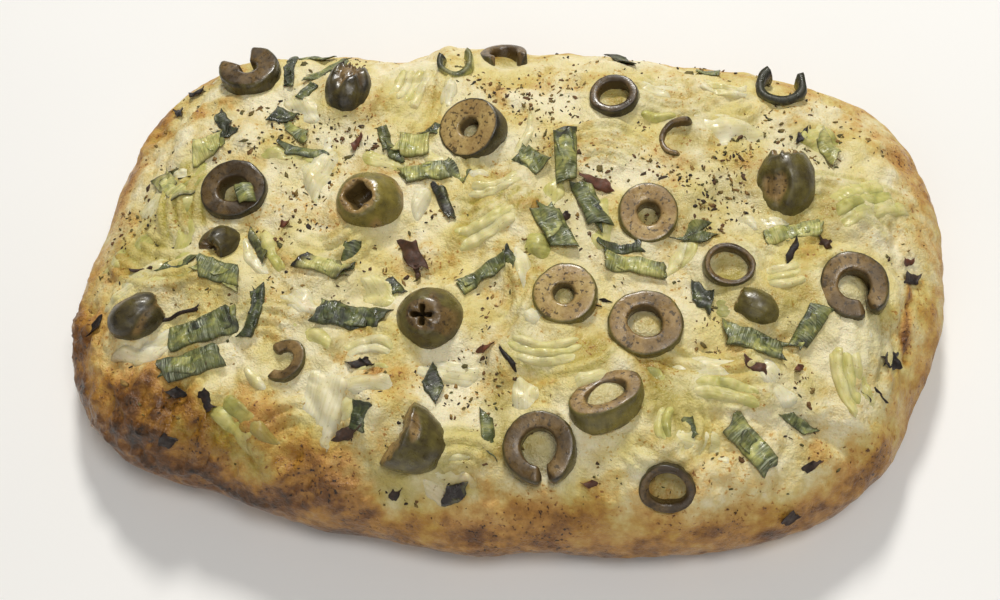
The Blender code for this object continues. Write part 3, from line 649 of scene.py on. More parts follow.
def crumbs_and_pores():
    """The height of fine baked texture: small lumps with finer pores on them."""
    group, given, wanted = new_group("crumbs_and_pores", {"Lumps": 500.0, "Pores": 1600.0}, ["Height"])
    place = add_node(group, "TexCoord").outputs["Object"]
    pores = worked_out(group, "MULTIPLY", noise_on(group, place, given["Pores"], 2.0), 0.35)
    lumps = noise_on(group, place, given["Lumps"], 5.0, 0.6)
    group.links.new(worked_out(group, "ADD", lumps, pores), wanted["Height"])
    return group


oil_group = film_of_oil()
crumb_group = crumbs_and_pores()


def add_oil(tree, shader, pools, dry, oily, amount=0.4):
    inputs = {"Pools": pools, "Dry": dry, "Oily": oily, "Amount": amount}
    film = add_node(tree, "Group", inputs, node_tree=oil_group)
    tree.links.new(film.outputs["Roughness"], shader.inputs["Roughness"])


def crumb_height(tree, lumps, pores):
    return add_node(tree, "Group", {"Lumps": lumps, "Pores": pores}, node_tree=crumb_group).outputs["Height"]


def add_bump(tree, shader, height, strength, distance):
    bump = add_node(tree, "Bump", {"Height": height, "Strength": strength, "Distance": distance})
    tree.links.new(bump.outputs["Normal"], shader.inputs["Normal"])


# From pale crumb to char, by how toasted the crust is.
CRUST_COLOURS = [
    (0.00, colour(240, 229, 190)),
    (0.18, colour(225, 205, 146)),
    (0.34, colour(212, 174, 102)),
    (0.52, colour(188, 138, 70)),
    (0.74, colour(124, 81, 38)),
    (1.00, colour(44, 29, 17)),
]


def dough_material():
    made, tree, shader = new_material(
        "baked_dough", 0.5, Subsurface_Weight=0.10, Subsurface_Scale=0.004, Subsurface_Radius=(1.0, 0.6, 0.3),
    )
    place = add_node(tree, "TexCoord").outputs["Object"]
    toasted = attribute(tree, "toasted")
    moist = attribute(tree, "moist")

    broad = mapped(tree, noise_on(tree, place, 78.0, 4.0, 0.6), 0.34, 0.66, -0.18, 0.26)
    fine = mapped(tree, noise_on(tree, place, 300.0, 4.0, 0.6), 0.3, 0.7, -0.13, 0.13)
    strength = mapped(tree, toasted, 0.0, 0.45, 0.85, 0.95)
    mottling = worked_out(tree, "MULTIPLY", worked_out(tree, "ADD", broad, fine), strength)
    shade = worked_out(tree, "ADD", toasted, mottling)
    flecks = mapped(tree, noise_on(tree, place, 900.0, 2.0, 0.5), 0.60, 0.70)
    fleck_zones = mapped(tree, noise_on(tree, place, 75.0, 2.0), 0.42, 0.58)
    freckles = worked_out(tree, "MULTIPLY", flecks, fleck_zones)
    shade = worked_out(tree, "ADD", shade, worked_out(tree, "MULTIPLY", freckles, 0.40))
    crust = colour_ramp(tree, shade, CRUST_COLOURS)

    yellow_zones = mapped(tree, noise_on(tree, place, 55.0, 3.0), 0.42, 0.60, 0.0, 0.70)
    yellowed = mixed(tree, yellow_zones, crust, colour(234, 224, 148), "MULTIPLY")
    striations = mapped(tree, noise_on(tree, place, 620.0, 3.0, 0.6, 1.0), 0.35, 0.65, 0.6, 1.3)
    layered = worked_out(tree, "MULTIPLY", attribute(tree, "layered"), striations)
    yellowed = mixed(tree, layered, yellowed, colour(206, 205, 122), "MULTIPLY")
    unevenly = mapped(tree, noise_on(tree, place, 240.0), 0.3, 0.7, 0.6, 1.2)
    wetness = worked_out(tree, "MULTIPLY", moist, unevenly)
    soaked = mixed(tree, wetness, yellowed, colour(194, 187, 120), "MULTIPLY")
    tree.links.new(soaked, shader.inputs["Base Color"])
    glossy = worked_out(tree, "MAXIMUM", moist, mapped(tree, toasted, 0.30, 0.65, 0.0, 0.6))
    add_oil(tree, shader, 150.0, 0.60, 0.28, mapped(tree, glossy, 0.0, 0.6, 0.36, 0.52))
    add_bump(tree, shader, crumb_height(tree, 420.0, 1500.0), 0.85, 0.0012)
    return made


def add_object(name, data):
    made = bpy.data.objects.new(name, data)
    bpy.context.scene.collection.objects.link(made)
    return made


def show(name, shape, material, slot, *nodes):
    """Makes a piece of the shown food from a bmesh or a mesh. It stands for the CAD nodes that are named."""
    mesh = shape
    if isinstance(shape, bmesh.types.BMesh):
        bmesh.ops.recalc_face_normals(shape, faces=shape.faces)
        mesh = bpy.data.meshes.new(name)
        shape.to_mesh(mesh)
        shape.free()
    mesh.shade_smooth()
    mesh.materials.append(material)
    made = add_object(name, mesh)
    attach(made, "root")
    if nodes:
        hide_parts(*nodes)


show("dough", finished_dough(), dough_material(), "dough", "loaf")


# Onion slices: thin crescents cut from an onion, roasted soft, so that they are pale, ribbed and see-through.
# Each is one to four layers of the onion that still lie together. They were strewn before baking, and the
# dough rose round them and over the edges of many more that lie in its surface.
# Greenness of each slice, from white to yellow green, and how many layers it has.
ONION_LOOKS = [
    (0.84, 2), (0.05, 1), (0.20, 2), (0.45, 3), (0.55, 3), (0.40, 3), (0.65, 3),
    (0.60, 2), (0.55, 2), (0.40, 2), (0.25, 2), (0.35, 4), (0.20, 2),
]
# A strip's form: thickness, arch, how ragged it is, crinkle, rib height, ribs to the metre along and across it,
# how far its ends rise, and its lift.
ONION_FORM = (0.0017, 0.0009, 0.14, 0.0008, 0.00009, (50, 900), -0.0012, 0.0004)
SUNK_ONION_FORM = (0.0013, 0.0012, 0.24, 0.0014, 0.00012, (50, 900), -0.0013, -0.0009)
# How wide each layer of a slice is against its share of the slice, so that they lie over one another.
LAYER_OVERLAP = 1.45
# How much shorter each further layer is, and how much greener every second one.
LAYER_SHORTER = 0.07
LAYER_GREENER = 0.18

# Layers that lie in the dough's surface: x, y, length, width, turn, bend, greenness.
ONION_LAYERS = [
    (-0.0950, 0.0580, 0.0070, 0.0050, 60, 20, 0.05),
    (-0.0640, 0.0250, 0.0200, 0.0056, 0, -60, 0.70),
    (-0.0970, 0.0180, 0.0080, 0.0050, 10, 30, 0.05),
    (-0.1030, 0.0100, 0.0150, 0.0100, 60, 20, 0.25),
    (-0.0905, 0.0120, 0.0200, 0.0120, 76, 10, 0.85),
    (-0.0900, -0.0060, 0.0180, 0.0100, 80, -14, 0.70),
    (-0.1080, -0.0080, 0.0180, 0.0080, 24, 24, 0.80),
    (-0.1010, -0.0150, 0.0170, 0.0060, 30, 20, 0.40),
    (-0.0900, -0.0180, 0.0200, 0.0064, 10, -20, 0.65),
    (-0.1060, -0.0220, 0.0140, 0.0054, 40, -20, 0.35),
    (-0.0640, -0.0070, 0.0180, 0.0046, -56, 18, 0.75),
    (-0.0690, -0.0100, 0.0160, 0.0046, -50, 20, 0.15),
    (-0.0210, 0.0500, 0.0100, 0.0060, 84, 0, 0.00),
    (-0.0100, 0.0220, 0.0200, 0.0044, -16, 80, 0.15),
    (0.0040, 0.0340, 0.0200, 0.0036, 70, 60, 0.30),
    (0.0410, 0.0560, 0.0160, 0.0070, -6, 10, 0.15),
    (0.0420, 0.0460, 0.0180, 0.0040, 6, 14, 0.75),
    (0.0600, 0.0440, 0.0200, 0.0130, 10, 20, 0.20),
    (0.0880, 0.0440, 0.0120, 0.0100, 34, 10, 0.80),
    (0.0760, 0.0130, 0.0220, 0.0060, 8, 30, 0.05),
    (0.0540, 0.0040, 0.0150, 0.0050, 70, 40, 0.60),
    (0.0500, -0.0010, 0.0160, 0.0046, 60, 40, 0.35),
    (0.0700, -0.0130, 0.0220, 0.0130, -8, 0, 0.95),
    (0.0300, 0.0100, 0.0200, 0.0090, -84, 0, 0.75),
    (0.0140, 0.0170, 0.0110, 0.0080, -84, 0, 0.60),
    (0.0120, -0.0010, 0.0100, 0.0090, 0, 0, 0.85),
    (0.0090, -0.0100, 0.0220, 0.0056, -66, 24, 0.15),
    (0.0130, -0.0220, 0.0100, 0.0070, -20, 60, 0.10),
    (-0.0290, -0.0180, 0.0150, 0.0120, -50, 0, 0.45),
    (-0.0510, -0.0240, 0.0130, 0.0080, -40, 20, 0.05),
    (-0.0450, -0.0340, 0.0200, 0.0066, -24, -30, 0.80),
    (-0.0580, -0.0460, 0.0150, 0.0060, -10, 60, 0.20),
    (-0.0290, -0.0400, 0.0160, 0.0040, 6, -90, 0.60),
    (-0.0300, -0.0460, 0.0220, 0.0060, 10, -60, 0.10),
    (-0.0370, -0.0560, 0.0170, 0.0070, 60, -40, 0.25),
    (-0.0080, -0.0400, 0.0180, 0.0070, -4, 14, 0.05),
    (0.0300, -0.0380, 0.0160, 0.0080, 30, 20, 0.50),
    (0.0130, -0.0450, 0.0150, 0.0080, -84, 0, 0.20),
    (0.0470, -0.0390, 0.0160, 0.0130, -70, 0, 0.90),
    (0.0600, -0.0330, 0.0200, 0.0090, 4, 0, 0.05),
    (0.0570, -0.0530, 0.0200, 0.0080, -4, 0, 0.20),
    (0.0780, -0.0350, 0.0140, 0.0080, -46, 0, 0.05),
    (0.1020, -0.0140, 0.0180, 0.0050, -88, 0, 0.05),
    (-0.0960, -0.0390, 0.0140, 0.0080, -10, 0, 0.00),
    (-0.0920, -0.0350, 0.0130, 0.0060, 30, 0, 0.00),
    (-0.0060, -0.0630, 0.0160, 0.0040, 0, 20, 0.35),
    (-0.0050, -0.0670, 0.0150, 0.0040, -8, 20, 0.30),
    (-0.0090, -0.0700, 0.0080, 0.0056, -20, 0, 0.00),
    (-0.0200, 0.0270, 0.0140, 0.0080, -12, 0, 0.45),
    (-0.0360, 0.0240, 0.0160, 0.0056, -14, 10, 0.60),
    (-0.0640, 0.0420, 0.0140, 0.0090, -50, 0, 0.10),
    (-0.0540, 0.0200, 0.0180, 0.0110, 70, 0, 0.10),
    (-0.0240, 0.0120, 0.0100, 0.0080, 70, 0, 0.10),
]
# How slanted and how tapered a ragged strip can be, and how fast both change from seed to seed.
STRIP_SLANT = 0.9
STRIP_TAPER = 0.5
SLANT_CHANGE = 7.1
TAPER_CHANGE = 3.7
# How many waves the ragged ends and sides of a strip have, and how many crinkles there are to the metre.
END_WAVES = 2.3
SIDE_WAVES = 3.1
CRINKLE_PITCH = 190.0
# The share of a strip's thickness that lies over its middle, and how much thinner it gets at its rim.
SHARE_ABOVE = 0.6
RIM_THINNING = 0.9


def new_shape(*values):
    """A bmesh whose points hold a place along the grain and the named values, for the materials."""
    shape = bmesh.new()
    shape.verts.layers.float_vector.new("grain")
    for name in ("rim", "toasted", *values):
        shape.verts.layers.float.new(name)
    return shape


def add_strip(shape, row, cells, form, seed, values):
    """Adds a thin strip that lies over the dough: arched across, thin at its rim, its ends cut on a slant."""
    x, y, length, width, turn, bend = row
    thickness, arch, ragged, crinkled, rib_height, rib_pitch, end_rise, lift = form
    made = bmesh.ops.create_grid(shape, x_segments=cells[0], y_segments=cells[1], size=0.5)["verts"]
    faces = list({face for vertex in made for face in vertex.link_faces})
    u, v = np.array([vertex.co[:2] for vertex in made]).T
    level = np.zeros_like(u)
    rim = np.maximum(np.abs(2 * u) ** 8, np.abs(2 * v) ** 6)
    slant = STRIP_SLANT * ragged * math.sin(SLANT_CHANGE * seed)
    taper = STRIP_TAPER * ragged * math.sin(TAPER_CHANGE * seed)
    flat_x = u * length * (1 + ragged * ripple(np.stack([level + seed, END_WAVES * v, level], -1), 1.0, 7.0))
    flat_y = v * width * (1 + ragged * ripple(np.stack([SIDE_WAVES * u, level + seed, level], -1), 1.0))
    flat_x = flat_x + slant * 4 * v * width
    flat_y = flat_y * (1 + 2 * taper * u)
    grain = np.stack([flat_x, flat_y, level + seed], -1)
    if bend:
        ring = length / math.radians(bend)
        angle, distance = flat_x / ring, ring - flat_y
        flat_x, flat_y = distance * np.sin(angle), ring - distance * np.cos(angle)
    cosine, sine = math.cos(math.radians(turn)), math.sin(math.radians(turn))
    at_x, at_y = x + flat_x * cosine - flat_y * sine, y + flat_x * sine + flat_y * cosine
    z = dough_height(at_x, at_y) + lift + arch * (1 - (2 * v) ** 2) + end_rise * (2 * u) ** 4
    z = z + crinkled * ripple(np.stack([at_x, at_y, level + 0.1 * seed], -1), CRINKLE_PITCH)
    z = z + rib_height * ripple(grain * np.array([*rib_pitch, 1.0]), 1.0)
    z = z + SHARE_ABOVE * thickness * np.sqrt(1 - RIM_THINNING * rim)
    toasted = browning(at_x, at_y)
    layers = shape.verts.layers
    for index, vertex in enumerate(made):
        vertex.co = (at_x[index], at_y[index], z[index])
        vertex[layers.float_vector["grain"]] = grain[index]
        vertex[layers.float["rim"]] = rim[index]
        vertex[layers.float["toasted"]] = toasted[index]
        for name, value in values.items():
            vertex[layers.float[name]] = value(u[index], v[index]) if callable(value) else value
    lower = bmesh.ops.extrude_face_region(shape, geom=faces)["geom"]
    for vertex in [part for part in lower if isinstance(part, bmesh.types.BMVert)]:
        vertex.co.z -= thickness * math.sqrt(max(0.0, 1 - RIM_THINNING * vertex[layers.float["rim"]]))


def onion_material():
    made, tree, shader = new_material(
        "roast_onion", 0.3, Subsurface_Weight=0.30, Subsurface_Scale=0.003, Subsurface_Radius=(1.0, 0.7, 0.35),
    )
    place = add_node(tree, "TexCoord").outputs["Object"]
    along_grain = stretched(tree, attribute(tree, "grain", "Vector"), (70.0, 1100.0, 1.0))
    veins = noise_on(tree, along_grain, 1.0, 3.0, 0.6)
    cells = mapped(tree, noise_on(tree, place, 160.0, 3.0), 0.3, 0.7, -0.26, 0.26)
    green = worked_out(tree, "ADD", attribute(tree, "green"), cells)
    flesh = colour_ramp(tree, green, [
        (0.00, colour(234, 224, 188)),
        (0.35, colour(224, 212, 156)),
        (0.65, colour(212, 202, 132)),
        (0.85, colour(194, 188, 106)),
        (1.00, colour(160, 156, 84)),
    ])
    veined = mixed(tree, mapped(tree, veins, 0.46, 0.62, 0.0, 0.25), flesh, colour(204, 198, 132), "MULTIPLY")
    dusted = mapped(tree, noise_on(tree, place, 1000.0, 2.0), 0.64, 0.72, 0.0, 0.5)
    veined = mixed(tree, dusted, veined, colour(150, 124, 66))
    here_and_there = mapped(tree, noise_on(tree, place, 130.0), 0.42, 0.62)
    ends = worked_out(tree, "MULTIPLY", attribute(tree, "rim"), here_and_there)
    tipped = mixed(tree, mapped(tree, ends, 0.1, 1.0, 0.0, 0.6), veined, colour(186, 150, 88))
    toasted = mapped(tree, attribute(tree, "toasted"), 0.10, 0.50, 0.0, 0.8)
    browned = mixed(tree, toasted, tipped, colour(172, 128, 70))
    tree.links.new(browned, shader.inputs["Base Color"])
    add_oil(tree, shader, 260.0, 0.50, 0.24)
    add_bump(tree, shader, veins, 0.4, 0.0005)
    return made


onion_finish = onion_material()
for number, (row, (green, layers)) in enumerate(zip(ONION_SLICES, ONION_LOOKS), 1):
    shape = new_shape("green")
    x, y, length, width, turn, bend = row
    side = Vector((-math.sin(math.radians(turn)), math.cos(math.radians(turn))))
    for layer in range(layers):
        shift = ((layer + 0.5) / layers - 0.5) * width
        strip_width = LAYER_OVERLAP * width / layers
        strip_length = length * (1 - LAYER_SHORTER * layer)
        strip = (x + side.x * shift, y + side.y * shift, strip_length, strip_width, turn, bend)
        values = {"green": green + LAYER_GREENER * (layer % 2)}
        add_strip(shape, strip, (40, 12), ONION_FORM, number + 0.3 * layer, values)
    show(f"onion_slice_{number:02d}", shape, onion_finish, "onion", f"onion_{number:02d}")

shape = new_shape("green")
for number, (*row, green) in enumerate(ONION_LAYERS):
    add_strip(shape, row, (26, 12), SUNK_ONION_FORM, 20 + number, {"green": green})
show("onion_layers_in_dough", shape, onion_finish, "onion")


# Olives: green table olives with the stone punched out, cut across into slices or left whole.
# Slices show the paler flesh of the cut and the hole. Some split open or tore as they were cut.
# They were pressed into the dough, and the oven dulled and wrinkled their skin and browned the flesh.
OLIVE_SLENDERNESS = 1.3
OLIVE_CRINKLE = (0.0007, 75)
OLIVE_WRINKLES = [(0.00022, 300), (0.00012, 900)]
RING_STEPS = 76
# Over what length a broken end of an open slice is rounded, and how full it is at the very end.
BLUNT_END = 0.0014
BLUNT_FULLNESS = 0.30

# How brown the flesh of each slice is, and how dark its skin.
RING_LOOKS = [
    (0.80, 0.72), (0.70, 0.70), (0.14, 0.85), (0.86, 0.90), (0.66, 0.70),
    (0.88, 0.90), (0.28, 0.45), (0.70, 0.70), (0.60, 0.70), (0.14, 0.35),
    (0.42, 0.45), (0.62, 0.60), (0.70, 0.70), (0.44, 0.35), (0.85, 0.85),
]
# How brown the flesh of each whole olive is, how dark its skin, how ragged its rim, its hole's star, its tears.
OLIVE_LOOKS = [
    (0.70, 0.85, 0.0024, 0, 0.00, 0.0018),
    (0.50, 0.55, 0.0022, 0, 0.00, 0.0020),
    (0.75, 0.75, 0.0014, 0, 0.00, 0.0014),
    (0.30, 0.15, 0.0005, 4, 0.14, 0.0000),
    (0.55, 0.50, 0.0006, 0, 0.00, 0.0005),
    (0.72, 0.55, 0.0005, 4, 0.60, 0.0000),
    (0.60, 0.80, 0.0006, 0, 0.00, 0.0004),
    (0.45, 0.62, 0.0008, 0, 0.00, 0.0004),
]
# Tears: how many to the metre, how long they are drawn, how steep their sides, and where the noise opens one.
TEAR_PITCH = 190
TEAR_STRETCH = 0.45
TEAR_STEEPNESS = 4
TEAR_LEVEL = 0.08
# How far the flesh shows in a tear.
TEAR_CUT = 0.85
# Vector noise starts from the clock unless it is given a seed, and every run has to give the same olives.
noise.seed_set(5)


def skin_radius(radius, height):
    half_length = radius * OLIVE_SLENDERNESS
    return radius * math.sqrt(max(0.0, 1 - (height / half_length) ** 2))


def standing_at(x, y, rise, lean_to, lean, turn):
    """Place of a piece at a height over the loaf, its axis leaning some degrees towards a compass angle."""
    towards = Matrix.Rotation(math.radians(lean_to), 4, "Z")
    tipped = Matrix.Rotation(math.radians(lean), 4, "Y")
    turned = Matrix.Rotation(math.radians(turn - lean_to), 4, "Z")
    height = float(top_height(np.array([x]), np.array([y]))[0])
    return Matrix.Translation((x, y, height + rise)) @ towards @ tipped @ turned


def turn_outline(outline, closed, opening=0):
    """Turns an outline about +Z, all but an opening. Each of its points has distance, height, cut and hollow."""
    shape = new_shape("cut", "hollow", "brown", "dark")
    layers = shape.verts.layers.float
    corners = []
    for distance, height, cut, hollow in outline:
        corner = shape.verts.new((distance, 0.0, height))
        corner[layers["cut"]] = cut
        corner[layers["hollow"]] = hollow
        corners.append(corner)
    following = corners[1:] + corners[:1] if closed else corners[1:]
    for corner, next_corner in zip(corners, following):
        shape.edges.new((corner, next_corner))
    turned = shape.verts[:] + shape.edges[:]
    if opening:
        turned.append(shape.faces.new(corners))
    bmesh.ops.spin(
        shape, geom=turned, cent=(0, 0, 0), axis=(0, 0, 1), dvec=(0, 0, 0),
        angle=math.radians(360 - opening), steps=RING_STEPS, use_merge=not opening,
    )
    bmesh.ops.remove_doubles(shape, verts=shape.verts, dist=0.000001)
    return shape


def slice_outline(radius, low, high, hole):
    """Outline of a slice: low cut, skin, high cut and the wall of the hole, its corners rounded."""
    round_off = 0.0003
    edge = skin_radius(radius, high)
    low_edge = skin_radius(radius, low)
    outline = [(hole + share * (low_edge - hole), low, 1.0, 0.0) for share in (0.08, 0.5, 0.92)]
    for share in (0.0, 0.2, 0.4, 0.6, 0.8, 1.0):
        height = low + round_off + share * (high - low - 2 * round_off)
        outline.append((skin_radius(radius, height), height, 0.0, 0.0))
    for share, dome, cut in ((0.97, -0.4, 0.1), (0.92, 0.0, 0.5), (0.80, 0.15, 1.0), (0.6, 0.3, 1.0)):
        outline.append((hole + share * (edge - hole), high + dome * round_off, cut, 0.0))
    for share, dome, hollow in ((0.35, 0.2, 0.0), (0.14, -0.2, 0.1), (0.02, -0.8, 0.6)):
        outline.append((hole + share * (edge - hole), high + dome * round_off, 1.0, hollow))
    for share in (0.75, 0.45, 0.15):
        outline.append((hole * (0.94 + 0.06 * share), low + share * (high - low), 0.6, 1.0))
    return outline


def olive_outline(radius, high, hole, depth):
    """Outline of a whole olive from its round end up the skin, over the cut rim and down into its hole."""
    low = -radius * OLIVE_SLENDERNESS
    outline = [(0.0, low, 0.0, 0.0)]
    steps = 34
    first = math.acos(min(1.0, high / -low))
    for step in range(1, steps + 1):
        angle = math.pi - (math.pi - first) * step / steps
        outline.append((radius * math.sin(angle), -low * math.cos(angle), 0.0, 0.0))
    rim = outline[-1][0]
    outline[-1] = (rim - 0.0001, high - 0.0003, 0.3, 0.0)
    outline += [(hole + share * (rim - hole), high, 1.0, 0.0) for share in (0.7, 0.35)]
    outline.append((hole, high - 0.0004, 1.0, 0.4))
    for share in (0.25, 0.5, 0.75, 1.0):
        outline.append((hole * (1 - 0.3 * share), high - depth * share, 0.5, 1.0))
    outline.append((hole * 0.35, high - depth * 1.02, 0.5, 1.0))
    outline.append((0.0, high - depth * 1.04, 0.5, 1.0))
    return outline


def shape_flesh(shape, seed, oval, brown, dark, place):
    """Makes a turned olive uneven, notes each point's place for the grain, and puts the olive where it lies."""
    layers = shape.verts.layers
    crinkle, pitch = OLIVE_CRINKLE
    for vertex in shape.verts:
        vertex.co.y *= oval
        vertex.co += crinkle * noise.noise_vector(vertex.co * pitch + Vector((seed, 0.0, 0.0)))
        outward = Vector((vertex.co.x, vertex.co.y, 0.0)).normalized()
        squeezed = Vector((vertex.co.x, vertex.co.y, 0.5 * vertex.co.z))
        for depth, fine_pitch in OLIVE_WRINKLES:
            vertex.co += outward * depth * noise.noise(squeezed * fine_pitch + Vector((seed, seed, 0.0)))
        vertex[layers.float_vector["grain"]] = vertex.co
        vertex[layers.float["brown"]] = brown
        vertex[layers.float["dark"]] = dark
    bmesh.ops.transform(shape, matrix=place, verts=shape.verts)


def tear_skin(shape, middle, depth, seed):
    """Opens ragged tears in the upper side of a whole olive: the flesh shows in them, and they are sunk."""
    cut = shape.verts.layers.float["cut"]
    for vertex in shape.verts:
        outward = (vertex.co - middle).normalized()
        drawn_out = Vector((vertex.co.x, TEAR_STRETCH * vertex.co.y, TEAR_STRETCH * vertex.co.z))
        tear = noise.noise(drawn_out * TEAR_PITCH + Vector((seed, 0.0, seed)))
        tear = TEAR_STEEPNESS * (tear - TEAR_LEVEL)
        tear = min(1.0, max(0.0, tear)) * min(1.0, max(0.0, 0.2 + 2 * outward.z))
        vertex.co -= outward * depth * tear
        vertex[cut] = max(vertex[cut], TEAR_CUT * tear)


def blunt_ends(shape, opening, centre_distance, centre_height):
    """Rounds the two broken ends of an open slice towards the middle of its section."""
    span = math.radians(360 - opening)
    for vertex in shape.verts:
        angle = math.atan2(vertex.co.y, vertex.co.x) % (2 * math.pi)
        if angle > span + 0.01:
            angle = 0.0
        from_end = min(angle, span - angle) * centre_distance
        if from_end < BLUNT_END:
            fullness = math.sqrt(1 - (1 - max(0.0, from_end) / BLUNT_END) ** 2)
            outward = (math.cos(angle), math.sin(angle))
            middle = Vector((centre_distance * outward[0], centre_distance * outward[1], centre_height))
            vertex.co = middle.lerp(vertex.co, max(BLUNT_FULLNESS, fullness))


def olive_material():
    made, tree, shader = new_material(
        "table_olive", 0.3, Coat_Weight=0.2, Coat_Roughness=0.15,
        Subsurface_Weight=0.06, Subsurface_Scale=0.002, Subsurface_Radius=(1.0, 0.7, 0.3),
    )
    grain = attribute(tree, "grain", "Vector")
    brown, dark = attribute(tree, "brown"), attribute(tree, "dark")
    cut, hollow = attribute(tree, "cut"), attribute(tree, "hollow")

    blotches = mapped(tree, noise_on(tree, grain, 230.0, 4.0, 0.6), 0.3, 0.7, -0.28, 0.28)
    streaks = noise_on(tree, stretched(tree, grain, (900.0, 900.0, 90.0)), 1.0, 3.0, 0.6)
    skin = colour_ramp(tree, worked_out(tree, "ADD", dark, blotches), [
        (0.00, colour(142, 128, 58)),
        (0.40, colour(108, 98, 46)),
        (0.75, colour(76, 66, 34)),
        (1.00, colour(46, 40, 24)),
    ])
    skin = mixed(tree, mapped(tree, streaks, 0.4, 0.7, 0.0, 0.4), skin, colour(166, 156, 112), "MULTIPLY")
    specks = mapped(tree, noise_on(tree, grain, 1300.0, 2.0), 0.66, 0.74, 0.0, 0.7)
    skin = mixed(tree, specks, skin, colour(46, 34, 22))

    turning = stretched(tree, grain, (1.0, 1.0, 0.25))
    bruises = mapped(tree, noise_on(tree, grain, 180.0, 3.0), 0.3, 0.7, -0.20, 0.26)
    flesh = colour_ramp(tree, worked_out(tree, "ADD", brown, bruises), [
        (0.00, colour(200, 174, 112)),
        (0.35, colour(170, 140, 88)),
        (0.65, colour(124, 100, 60)),
        (1.00, colour(72, 56, 32)),
    ])
    scratches = noise_on(tree, turning, 620.0, 5.0, 0.7, 1.5)
    flesh = mixed(tree, mapped(tree, scratches, 0.35, 0.7, 0.0, 0.7), flesh, colour(182, 166, 122), "MULTIPLY")
    crumbs = mapped(tree, noise_on(tree, grain, 800.0, 2.0), 0.58, 0.64, 0.0, 0.8)
    flesh = mixed(tree, crumbs, flesh, colour(58, 46, 28))
    whole = mixed(tree, mapped(tree, cut, 0.25, 0.75), skin, flesh)
    whole = mixed(tree, mapped(tree, hollow, 0.1, 1.0, 0.0, 0.8), whole, colour(74, 56, 28))
    tree.links.new(whole, shader.inputs["Base Color"])
    add_oil(tree, shader, 320.0, 0.46, 0.24)
    height = worked_out(tree, "ADD", crumb_height(tree, 700.0, 2600.0), streaks)
    add_bump(tree, shader, height, 0.35, 0.0003)
    return made


olive_finish = olive_material()
for number, (row, look) in enumerate(zip(OLIVE_RINGS, RING_LOOKS), 1):
    x, y, radius, low, high, hole, opening, lean_to, lean, turn, rise, oval = row
    shape = turn_outline(slice_outline(radius, low, high, hole), True, opening)
    if opening:
        blunt_ends(shape, opening, (radius + hole) / 2, (low + high) / 2)
    shape_flesh(shape, number, oval, *look, standing_at(x, y, rise, lean_to, lean, turn))
    show(f"olive_slice_{number:02d}", shape, olive_finish, "olive", f"olive_ring_{number:02d}")

for number, (row, look) in enumerate(zip(WHOLE_OLIVES, OLIVE_LOOKS), 1):
    x, y, radius, high, hole, depth, lean_to, lean, rise, oval = row
    brown, dark, ragged, points, star, torn = look
    shape = turn_outline(olive_outline(radius, high, hole, depth), False)
    layers = shape.verts.layers.float
    for vertex in shape.verts:
        around = math.atan2(vertex.co.y, vertex.co.x)
        if vertex[layers["hollow"]] > 0.1 and points:
            opened = 1 + star * math.cos(points * around)
            vertex.co.x *= opened
            vertex.co.y *= opened
        if vertex[layers["cut"]] > 0.1:
            vertex.co.z += ragged * noise.noise(Vector((3 * math.cos(around), 3 * math.sin(around), number)))
    lying = standing_at(x, y, rise, lean_to, lean, 0)
    shape_flesh(shape, number, oval, brown, dark, lying)
    tear_skin(shape, lying.translation, torn, number)
    show(f"whole_olive_{number:02d}", shape, olive_finish, "olive", f"olive_{number:02d}")


# Spring onion: the green of the stalk, cut into short lengths, with fine ribs across each piece.
# The pieces lie loose on the dough or are pressed into it. The oven dried and curled them and charred their tips.
# For each piece: how green, how strong the painted glints on its pale ribs are, and how far its near and its far
# end are charred.
SPRING_ONION_LOOKS = [
    (0.85, 0.1, 0.0, 0.1), (0.15, 0.0, 0.5, 0.6), (0.20, 0.1, 0.1, 0.2),
    (0.15, 0.2, 0.0, 0.2), (0.45, 0.9, 0.0, 0.1), (0.65, 0.7, 0.1, 0.2),
    (0.55, 0.2, 0.0, 0.6), (0.65, 0.5, 0.1, 0.1), (0.72, 0.5, 0.1, 0.1),
    (0.66, 0.7, 0.3, 0.1), (0.25, 0.1, 0.1, 0.0), (0.35, 1.0, 0.1, 0.5),
    (0.60, 0.9, 0.1, 0.4), (0.70, 0.9, 0.5, 0.2), (0.50, 0.9, 0.4, 0.3),
    (0.70, 0.3, 0.1, 0.2), (0.08, 0.0, 0.9, 0.7), (0.86, 0.1, 0.1, 0.4),
    (0.66, 0.8, 0.1, 0.3), (0.70, 0.8, 0.4, 0.2), (0.88, 0.1, 0.0, 0.1),
]
LEAF_FORM = (0.0012, 0.0005, 0.15, 0.0010, 0.00018, (1900, 170), 0.0008, 0.0010)
TOP_LEAF_FORM = (0.0008, -0.0004, 0.30, 0.0013, 0.00018, (1900, 170), 0.0004, 0.0018)
SCRAP_FORM = (0.0009, 0.0002, 0.30, 0.0010, 0.00014, (1900, 170), 0.0009, 0.0004)
# One scrap lies on the rim of an olive slice, with an end in its hole: place and form, green, painted glints on
# pale ribs, charred.
SCRAP_ON_OLIVE = (-0.0738, 0.0088, 0.0066, 0.0052, -65, 0)
SCRAP_ON_OLIVE_FORM = (0.0009, 0.0004, 0.16, 0.0006, 0.00014, (1900, 170), -0.0008, 0.0051)
SCRAP_ON_OLIVE_LOOK = (0.60, 0.9, 0.1)
# The second leaf that lies on each piece: its share of the length and the width, its turn and its shift.
TOP_LEAF = (0.62, 0.70, 9, 0.0022)
# For each curl that stands open: how green, how strong the painted glints on its pale ribs are, and how charred.
STANDING_LOOKS = [(0.30, 0.1, 0.5), (0.70, 0.5, 1.7)]
CURL_STEPS = 60
# How deep a curl is crinkled, and how many crinkles there are to the metre.
CURL_CRINKLE = (0.0010, 160)
# Over which share of its length the char fades out, for a curl and for each end of a flat piece.
CHARRED_LENGTH = 0.35
